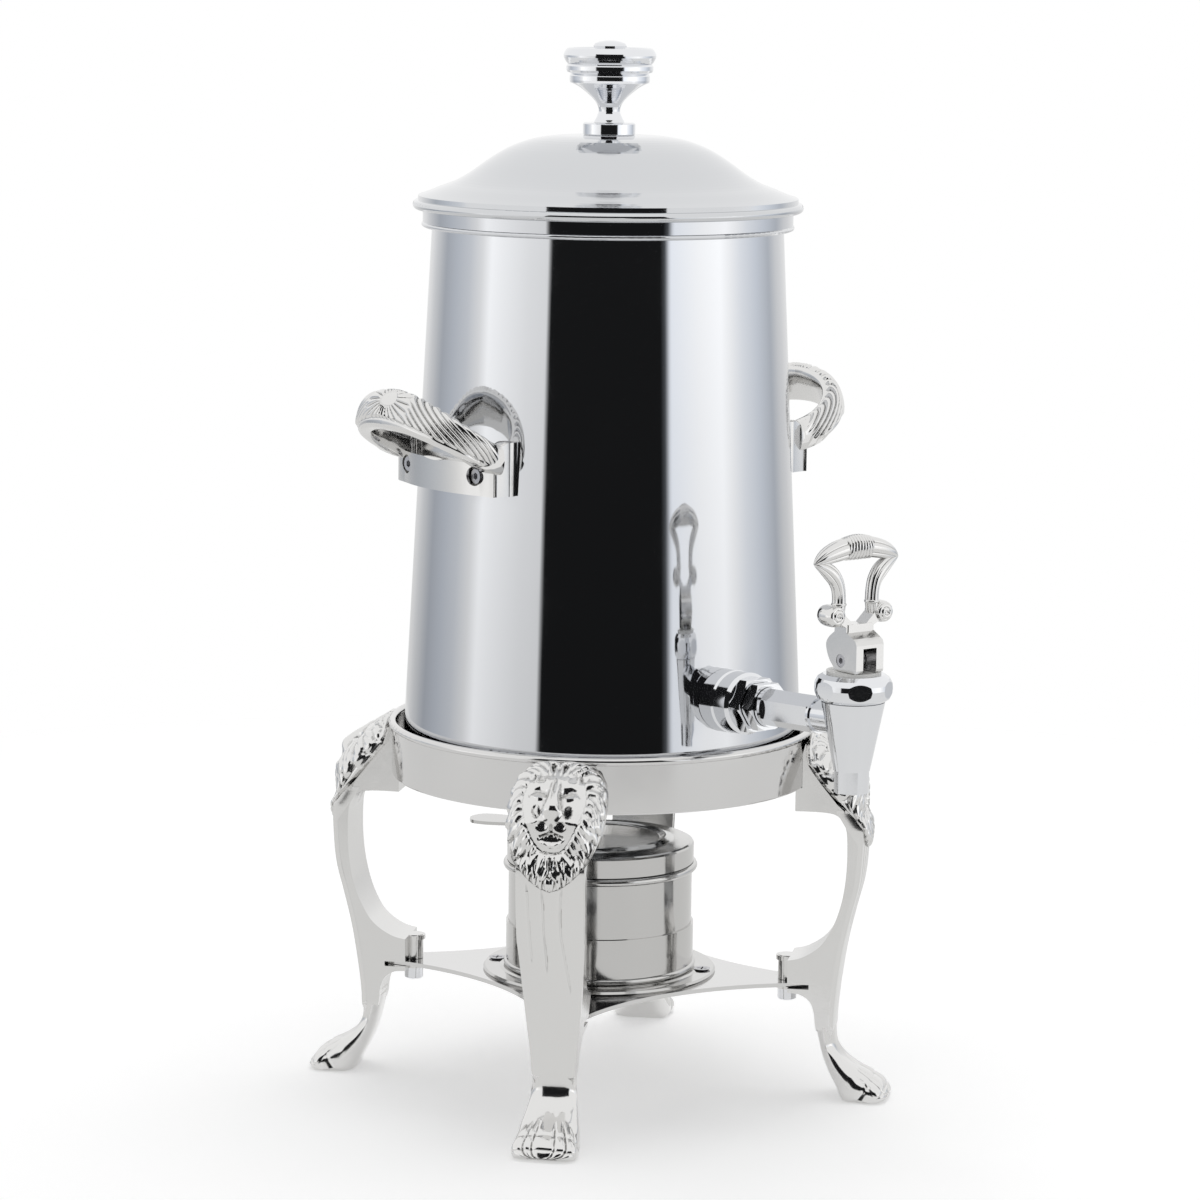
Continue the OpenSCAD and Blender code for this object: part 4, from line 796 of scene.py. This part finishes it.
# Height, half width
HALF_WIDTH = np.array([[20, 10.61], [34, 10.2], [46, 11.12], [58, 12.44], [76, 14.07], [100, 15.84],
                       [124, 16], [178, 16]])
CREASES = [[(-11, 128), (-9.9, 108), (-9.1, 89)], [(-3.8, 126), (-2.9, 106), (-2.2, 84)],
           [(5.7, 127), (4.7, 107), (8.8, 75)]]
CREASE_WIDTH, CREASE_DEPTH = 0.65, 1
STRAP_TOP, STRAP_FOOT = 145, 29.6


def strap_form(rows=100, columns=56):
    """The strap's front and both its edges, from behind the mask's chin down to the ankle."""
    z = np.linspace(STRAP_TOP, STRAP_FOOT, rows)[:, None]
    off = np.interp(z, LEG_OUTER[::-1, 1], LEG_OUTER[::-1, 0]) - 4 * np.clip((z - 135.5) / 8, 0, 1)
    sink = np.clip((35 - z) / 5, 0, 1)
    half = np.interp(z, HALF_WIDTH[:, 0], HALF_WIDTH[:, 1]) * (1 - 0.14 * sink)
    low = np.clip((z - 32) / 8, 0, 1)
    u = np.sin(np.linspace(-1, 1, columns) * math.pi / 2)
    x = half * u
    rise = 0.1 + 0.6 * (1 - u ** 2) ** 0.7 * low - sink ** 2 * (0.8 + 0.6 * u ** 4)
    creases = sum(stroke(x, z + 0 * x, line, CREASE_WIDTH, -CREASE_DEPTH) for line in CREASES)
    front = off + rise + creases
    # Three more columns on each side wrap the edge and end a little way in behind it
    sides = [half - 0.9, half + 0.14, half + 0.16]
    across = np.hstack([-side for side in sides] + [x] + sides[::-1])
    deep = off - 2.2 - 5.5 * np.clip((z - 128) / 8, 0, 1)
    away = np.hstack([deep - 0.2, deep, off - 0.45, front, off - 0.45, deep, deep - 0.2])
    return np.stack([across, -(RING_R + away), z + 0 * across], 2)


strap = strap_form()
print("strap:", strap.shape[0] * strap.shape[1], "points and", len(CREASES), "creases")

# %% Sections of the paw
PAW_HALF_WIDTH = 15.8
STEPS_PER_SECTION = 6
# From the ankle to the toes: sole distance and height, top distance and height, share of the width
PAW = smooth_line([[5, 41, 15.4, 40, 0.65], [7.2, 31, 15.6, 31, 0.655], [9.6, 21.5, 16.6, 25.6, 0.69],
                   [13, 13, 19.6, 20.8, 0.77], [17, 5.6, 24.4, 16.8, 0.86], [20.6, -1.6, 29.6, 13.7, 0.94],
                   [26, -1.8, 34.4, 11, 0.99], [31.5, -1.8, 38.2, 8.1, 1], [36, -1.6, 40.9, 5.2, 0.93],
                   [39.6, 0.2, 42.1, 3, 0.76], [41.1, 0.9, 42.4, 2, 0.48]], STEPS_PER_SECTION)
# The first rings lie inside the strap and are left out
HIDDEN_RINGS = 2
# Grooves between the toes, and the paw's own two flanks, across its widest section
VALLEYS = np.array([-16.4, -10, -5.7, 5.4, 11.2, 16.4])
# Knuckle lines, counted in sections from the ankle
KNUCKLES = (6.05, 7.85)
# The flanks draw back round the front of the ankle by this much
ANKLE_IN = 2.4
print("paw:", len(PAW) - HIDDEN_RINGS, "rings and", len(VALLEYS) - 1, "toes")

# %% The paw
def toe_relief(x, lift, step, share):
    """Heights of the toes, the grooves between them and the knuckles over the plain paw."""
    reach = np.clip((step - 4.4) / 1.2, 0, 1) ** 0.8
    valleys = VALLEYS[None, :] * (0.62 + 0.38 * np.clip((step - 3.5) / 4, 0, 1)) * share / PAW_HALF_WIDTH
    toe = np.stack([np.interp(a, v, np.arange(6)) for a, v in zip(x, valleys)])
    gap = np.min(np.abs(x[:, :, None] - valleys[:, None, 1:5]), 2)
    upper = np.clip(lift * 3 + 1.4, 0, 1)
    swell = reach * upper * (1.0 * (lobes(2 * math.pi * toe) - 0.85) - 0.6 * np.exp(-(gap / 0.4) ** 2))
    knuckle = sum(np.exp(-((step - k) / 0.13) ** 2) for k in KNUCKLES) * -0.42 * upper
    for middle, high in ((5.4, 0.25), (7, 0.2)):
        knuckle = knuckle + high * upper * np.exp(-((step - middle) / 0.5) ** 2)
    hollow = -0.5 * upper * np.exp(-((step - 3.7) / 0.7) ** 2 - ((x - 1.8) / 2) ** 2)
    return swell + knuckle + hollow


def paw_form(top=84, under=18):
    """Rings of the paw from the ankle to the toes."""
    table = PAW[HIDDEN_RINGS:]
    step = np.arange(HIDDEN_RINGS, len(PAW))[:, None] / STEPS_PER_SECTION
    u = np.hstack([np.sin(np.linspace(-1, 1, top) * math.pi / 2), np.linspace(0.97, -0.97, under)])
    lift = (1 - np.abs(u) ** 2.857) ** 0.35 * np.where(np.arange(top + under) < top, 1, -1)
    share = table[:, 4:5] * PAW_HALF_WIDTH
    x = u * share
    mid, half = (table[:, 2:4] + table[:, 0:2]) / 2, (table[:, 2:4] - table[:, 0:2]) / 2
    away, z = mid[:, 0:1] + half[:, 0:1] * lift, mid[:, 1:2] + half[:, 1:2] * lift
    grid = np.stack([x, -(RING_R + away), z], 2)
    grid = raised(grid, 0.12 - 0.3 * np.clip(0.8 - step, 0, 1) + toe_relief(x, lift, step, share))
    ankle = np.clip(lift * 2, 0, 1) * np.exp(-((step - 1.7) / 0.75) ** 2)
    grid[..., 1] += ANKLE_IN * np.abs(u) ** 4.85 * ankle
    # The sole is flat on the floor
    grid[..., 2] = np.maximum(grid[..., 2], 0.02)
    return grid


paw = paw_form()
print("paw:", paw.shape[0] * paw.shape[1], "points, lowest at", round(float(paw[..., 2].min()), 2), "mm")

# %% [markdown]
# ## From points to a casting
# A casting is one piece of metal, so its carved skins and the plain back that the construction
# model gives it become one mesh. Joining objects with a boolean would melt them together fully, but
# fine relief often breaks it. The skins just overlap inside the metal, where it can't be seen.
# Carved skins wear the finish with painted shade in their crevices, and the plain back wears the
# plain one.

# %% Casting tools
CARVED_SHARP, PLAIN_SHARP = math.radians(38), math.radians(5)


def cast(name, skins, rough=None):
    """One metal mesh from carved skins in millimetres, added to rough, the plain mesh that is kept."""
    form = rough or bmesh.new()
    for points, faces in skins:
        verts = [form.verts.new(Vector(p) * 0.001) for p in points]
        new = [form.faces.new([verts[k] for k in face]) for face in faces]
        bmesh.ops.recalc_face_normals(form, faces=new)
        for face in new:
            face.material_index = 1 if rough else 0
    for face in form.faces:
        face.smooth = True
    # The bracket's flat flanks, which face along X, keep even their soft edges crisp
    for edge in form.edges:
        flank = rough and any(f.material_index == 0 and abs(f.normal.x) > 0.99 for f in edge.link_faces)
        edge.smooth = edge.calc_face_angle(0) < (PLAIN_SHARP if flank else CARVED_SHARP)
    mesh = bpy.data.meshes.new(name)
    form.to_mesh(mesh)
    form.free()
    for finish in (["plated_casting"] if rough else []) + ["carved_casting"]:
        mesh.materials.append(finishes[finish])
    return mesh


def place(name, mesh, turn, body, stands_for=()):
    """Puts a copy of a carved mesh in its place, turned by degrees, on the body that it moves with."""
    own = mesh.copy()
    own.name = name
    own.transform(Matrix.Rotation(math.radians(turn), 4, "Z"))
    thing = bpy.data.objects.new(name, own)
    scene.collection.objects.link(thing)
    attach(thing, body)
    if stands_for:
        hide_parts(*stands_for)


def plain_copy(node, turn):
    """The construction model's own mesh of a piece, turned back to face -Y."""
    form = bmesh.new()
    form.from_mesh(nodes[node].data)
    bmesh.ops.transform(form, matrix=Matrix.Rotation(math.radians(-turn), 4, "Z"), verts=form.verts)
    bmesh.ops.remove_doubles(form, verts=form.verts, dist=1e-6)
    return form


print("skins keep edges sharper than", round(math.degrees(CARVED_SHARP)), "degrees")

# %% [markdown]
# ## Joining a leg
# The bracket side of a leg stays as the construction model has it. Its plain mask and paw make room
# for the carved ones, and its strap is tucked in behind the mask's chin. The four legs of the real
# stand come from one mould, so they are made from one mesh here too: each leg is a copy of it,
# turned to its own place round the ring.

# %% Make room on the plain leg
LEG_TURNS = {"leg_front_left": -47.4, "leg_front_right": 42.6, "leg_back_right": 132.6,
             "leg_back_left": 222.6}
# Heights between which the plain mask and the plain paw lie, and the half width of the strap
MASK_FROM, CHIN_TO, MASK_TO, PAW_TO, STRAP_HALF = 123.5, 146, 182, 34, 16.3
# How far the plain mask's edge stands off the ring's face: height, distance
PLAIN_EDGE = np.array([[124, 27], [135, 25], [145, 21], [150, 17.6], [160, 9.4], [168, 3.4], [174, 2.2],
                       [182, 2.2]])


def standing_off(vert):
    """Height, distance from the ring's face, and how far the plain mask's edge stands off there."""
    z = vert.co.z * 1000
    return z, -vert.co.y * 1000 - RING_R, float(np.interp(z, PLAIN_EDGE[:, 0], PLAIN_EDGE[:, 1]))


def makes_room(face):
    """Whether a face of the plain leg belongs to its mask or its paw."""
    seen = [standing_off(v) for v in face.verts]
    wide = any(abs(v.co.x) * 1000 > STRAP_HALF for v in face.verts)
    cheek = wide and all(MASK_FROM <= z <= CHIN_TO for z, _, _ in seen)
    foot = all(z < PAW_TO for z, _, _ in seen)
    front = all(MASK_FROM <= z <= MASK_TO and off >= edge - 0.5 for z, off, edge in seen)
    return cheek or foot or front


leg_rough = plain_copy("leg_front_left", LEG_TURNS["leg_front_left"])
spare = [face for face in leg_rough.faces if makes_room(face)]
print("faces of the plain mask and paw:", len(spare))
bmesh.ops.delete(leg_rough, geom=spare, context="FACES")

# %% Join the leg and turn it to its four places
# What is left of the plain mask, up to this height, is drawn back this far behind its own edge
TUCK_TO, TUCK_IN = 178, 1.8
for vert in leg_rough.verts:
    z, off, edge = standing_off(vert)
    if CHIN_TO < z < TUCK_TO and off > edge - TUCK_IN:
        vert.co.y = -(RING_R + edge - TUCK_IN) * 0.001
strap_skin = (strap.reshape(-1, 3), grid_faces(*strap.shape[:2], ring=False))
leg_mesh = cast("leg_casting", [(mask_points, mask_faces), strap_skin, closed_tube(paw)], leg_rough)
for node, turn in LEG_TURNS.items():
    place("carved_" + node, leg_mesh, turn, "stand", [node])
print("leg:", len(leg_mesh.polygons), "faces, placed", len(LEG_TURNS), "times")

# %% [markdown]
# ## Side handles
# The loop of each handle is gadrooned: slanting flutes run down both arms and turn into a fan of
# short flutes round an oval boss. The flutes could be cut one by one along a curve. One formula for
# all of them is shorter: it turns a point's place along and across the loop into a phase, and a
# full turn of the phase is one flute. The fluted skin takes the place of the plain loop, from post
# to post and a hair outside it.

# %% The loop's line and its sections
# The loop's line is drawn for the first half span, and stretched across to the second
DRAWN_HALF_SPAN, HALF_SPAN = 34.5, 36.5
# Across, distance from the urn's axis, up
LOOP = np.array([[33.4, 90, 318], [34.4, 97, 320.3], [34.9, 104, 323.6], [33.8, 110.5, 327.6],
                 [30.2, 116.4, 331.6], [23.8, 120.8, 335.2], [15.4, 123.4, 337.9], [7.4, 124.6, 339.2],
                 [0, 124.9, 339.6]])
LOOP = smooth_line(np.vstack([LOOP, LOOP[-2::-1] * [-1, 1, 1]]), 20)
LOOP_STEP = np.gradient(LOOP, axis=0)
# How near each ring is to the loop's middle, from 0 at a post to 1
LOOP_SHARE = (1 - np.abs(2 * np.arange(len(LOOP)) / (len(LOOP) - 1) - 1))[:, None]
LOOP_TALL, LOOP_THICK = 9.25 * (0.78 + 0.22 * LOOP_SHARE), 4.6 - 0.4 * LOOP_SHARE
LOOP_LEAN = np.radians(24 * LOOP_SHARE)


def section(angles, power):
    """Directions round a soft-cornered section, as shares of its half thickness and its half height."""
    return [np.sign(f(angles)) * np.abs(f(angles)) ** power for f in (np.cos, np.sin)]


print("loop:", len(LOOP), "sections, the middle one", round(2 * float(LOOP_TALL.max()), 1), "mm tall")

# %% Flutes of the loop
def flute_height(s, v, outward):
    """Heights of the flutes: s is the place along the loop from its middle, v the place up its face."""
    fan = np.arctan2(np.abs(s), 4.2 - v)
    arm = np.clip((np.hypot(s, v - 4.2) - 12.5) / 4, 0, 1)
    slant = (v + 0.8 * np.abs(s)) / 3.5 % 1
    leaf = np.sin(math.pi * slant ** 1.5) ** 0.6
    flute = (1 - arm) * lobes(24 * fan) + arm * leaf
    clear_of_post = np.clip(LOOP_SHARE * 9 - 0.6, 0, 1)
    boss = np.clip((np.hypot(s / 1.5, v - 4.6) - 3.6) / 0.8, 0, 1)
    shown = np.clip((outward + 0.4) / 0.3, 0, 1) * np.clip((v + 5.4) / 1.5, 0, 1) * clear_of_post * boss
    border = np.exp(-((v + 4.9) / 0.7) ** 2) * np.clip(outward * 3, 0, 1)
    return 0.06 + shown * (1.3 * flute - 0.25) - 0.45 * border * clear_of_post


def loop_form(outer=130, inner=26):
    """Rings of the handle's loop with its flutes, facing -Y, with most points on the outer face."""
    angles = np.concatenate([np.linspace(1.75, -1.75, outer, endpoint=False),
                             np.linspace(-1.75, 1.75 - 2 * math.pi, inner, endpoint=False)])
    c0, c1 = section(angles, 0.85)
    c0 = np.where(c0 < 0, -np.abs(c0) ** 0.35, c0)
    over = c0 * LOOP_THICK * np.cos(LOOP_LEAN) - c1 * LOOP_TALL * np.sin(LOOP_LEAN)
    up = c1 * LOOP_TALL * np.cos(LOOP_LEAN) + c0 * LOOP_THICK * np.sin(LOOP_LEAN)
    d = LOOP_STEP
    n = np.stack([d[:, 1], d[:, 0]], 1) / np.hypot(d[:, 0], d[:, 1])[:, None]
    reach = LOOP[:, 1] - 0.5 * np.clip((LOOP[:, 1] - 97) / 28, 0, 1)
    across = LOOP[:, :1] * HALF_SPAN / DRAWN_HALF_SPAN + n[:, :1] * over
    grid = np.stack([across, -reach[:, None] + n[:, 1:] * over, LOOP[:, 2:] + up], 2)
    along = np.concatenate([[0], np.cumsum(np.hypot(d[1:, 0], d[1:, 1]))])
    s = (along - along[-1] / 2)[:, None] + 0 * over
    return raised(grid, flute_height(s, c1 * LOOP_TALL, c0))


loop_grid = loop_form()
print("handle loop:", loop_grid.shape[0] * loop_grid.shape[1], "points")

# %% [markdown]
# ## Joining a handle
# The bracket that holds the loop stays the construction model's, and only its plain loop makes
# room. The posts of the real handle spread a little as they leave the wall, which changes what their
# flanks mirror. They could be bent with a lattice, but one line that moves their points sideways
# does it. Like the legs, both handles are copies of one mesh.

# %% Join the handle and turn it to both sides
# Where the plain loop begins, outward and up, and how far the posts spread where they reach
# SPREAD_OVER millimetres beyond SPREAD_FROM, which is close to the wall
LOOP_OUT, LOOP_UP, SPREAD = 0.0937, 0.3165, 0.0019
SPREAD_FROM, SPREAD_OVER, SPREAD_MOST = 86.1, 5.5, 1.3
# The ends of the loop, above the first and beyond the second, aren't moved
POST_TOP, LOOP_FROM = 316, 92

handle_rough = plain_copy("handle_left", -90)
plain_loop = [face for face in handle_rough.faces
              if all(v.co.y < -LOOP_OUT and v.co.z > LOOP_UP for v in face.verts)]
bmesh.ops.delete(handle_rough, geom=plain_loop, context="FACES")
for vert in handle_rough.verts:
    x, y, z = vert.co.x * 1000, -vert.co.y * 1000, vert.co.z * 1000
    if z < POST_TOP or y < LOOP_FROM:
        flank = min(max((abs(x) - 30) / 4, 0), 1)
        outward = min(max((y - SPREAD_FROM) / SPREAD_OVER, 0), SPREAD_MOST)
        vert.co.x += math.copysign(SPREAD, x) * flank * outward
handle_mesh = cast("handle_casting", [closed_tube(loop_grid)], handle_rough)
for node, turn in {"handle_left": -90, "handle_right": 90}.items():
    place("fluted_" + node, handle_mesh, turn, "urn", [node])
print("handle:", len(handle_mesh.polygons), "faces, its plain loop had", len(plain_loop))

# %% [markdown]
# ## Ribs, wrap and scrolls of the lever
# The faucet's lever is a lyre: two ribbed arms that curl into scrolls at their feet and meet in an
# arch with a wrap of strands round its middle. A twisted rope could be wound from real strands, but
# at this size a ribbed bar reads the same. Each bar is a tube along a curve with its own width and
# thickness, and a small formula raises its ribs, its strands or the spiral on a scroll.

# %% Lines of the lever
PIVOT = np.array([0, -186.8, 237.95])
# Bars, seen from the front: across, up, half width, half thickness
ARCH = [[24.2, 44.9, 0.5, 0.6], [22.4, 46, 1.5, 1.5], [19.6, 47.3, 2.6, 2.4], [16, 48.6, 3.5, 3],
        [11.5, 49.8, 4.1, 3.3], [6, 50.8, 4.3, 3.4], [0, 51.1, 4.4, 3.5]]
ARM = [[10.6, 20.5, 2.4, 2.8], [9.8, 25, 2.4, 2.8], [9.7, 28.5, 2.3, 2.8], [10.2, 32.5, 2.4, 2.8],
       [11.6, 36.2, 2.7, 2.8], [14.4, 39.8, 3, 2.7], [18, 42.6, 2.6, 2.3], [21.6, 44.2, 1.6, 1.5],
       [23.9, 44.8, 0.6, 0.7]]
WRAP = [[7, 50.5, 4.5, 3.6], [3.5, 50.9, 4.9, 3.9], [0, 51.1, 5.1, 4.1]]
# A scroll's profile: radius, place along its axis
SCROLL = [[0.05, 5.4], [1.4, 5.3], [2.8, 5.0], [4.3, 3.9], [4.8, 2.2], [4.85, 0], [4.8, -2.2], [4.3, -3.9],
          [2.8, -5], [1.4, -5.3], [0.05, -5.4]]
SCROLL_X, SCROLL_Z = 14, 21
RIBS_ROUND, STRAND_PITCH, SPIRAL_PITCH = 6, 1.7, 1.75


def both_halves(rows):
    """A bar that runs on to its mirrored half."""
    rows = np.array(rows, float)
    return np.vstack([rows, rows[-2::-1] * [-1, 1, 1, 1]])


print("the arch is", 2 * ARCH[0][0], "mm wide")

# %% Bars and scrolls
def ribs(turn, x, size):
    """Ribs that run along a bar, lower where the bar is thin."""
    return 0.05 + 0.62 * size * lobes(RIBS_ROUND * turn)


def strands(turn, x, size):
    """Strands wrapped round a bar."""
    return 0.1 + 0.6 * lobes(2 * math.pi * x * (1 + 0.3 * np.cos(turn)) / STRAND_PITCH + math.pi)


def bar_form(rows, relief, columns=60, steps=7):
    """Rings along a bar; relief gives its height from the angle round it and the place across."""
    line = smooth_line(rows, steps)
    t = np.gradient(line[:, :2], axis=0)
    t /= np.linalg.norm(t, axis=1)[:, None]
    turn = 2 * math.pi * np.arange(columns)[None, :] / columns
    c0, c1 = section(-turn, 0.9)
    x, z = line[:, :1] + t[:, 1:] * line[:, 2:3] * c0, line[:, 1:2] - t[:, :1] * line[:, 2:3] * c0
    grid = PIVOT + np.stack([x, line[:, 3:] * c1, z], 2)
    return raised(grid, relief(turn, line[:, :1], np.minimum(line[:, 2:3] / 3, 1)))


def scroll_form(side, columns=64):
    """A scroll with a spiral on both its ends."""
    profile = smooth_line(SCROLL, 6)
    r, along = profile[:, :1], profile[:, 1:]
    a = 2 * math.pi * np.arange(columns) / columns
    grid = np.stack([side * SCROLL_X + r * np.cos(a), -along + 0 * a, SCROLL_Z + r * np.sin(a)], 2)
    end = np.clip((np.abs(along) - 3.4) / 1, 0, 1)
    spiral = lobes(2 * math.pi * r / SPIRAL_PITCH - side * a)
    return raised(PIVOT + grid, 0.12 + end * (0.62 * spiral - 0.1) * np.clip(r / 0.9, 0, 1))


bars = [bar_form(both_halves(ARCH), ribs), bar_form(both_halves(WRAP), strands, steps=16)]
for side in (1, -1):
    bars += [bar_form(np.array(ARM) * [side, 1, 1, 1], ribs), scroll_form(side)]
lever_mesh = cast("lever_carving", [closed_tube(bar) for bar in bars])
place("lever_carving", lever_mesh, 0, "lever")
print("lever carving:", len(bars), "bars and scrolls")
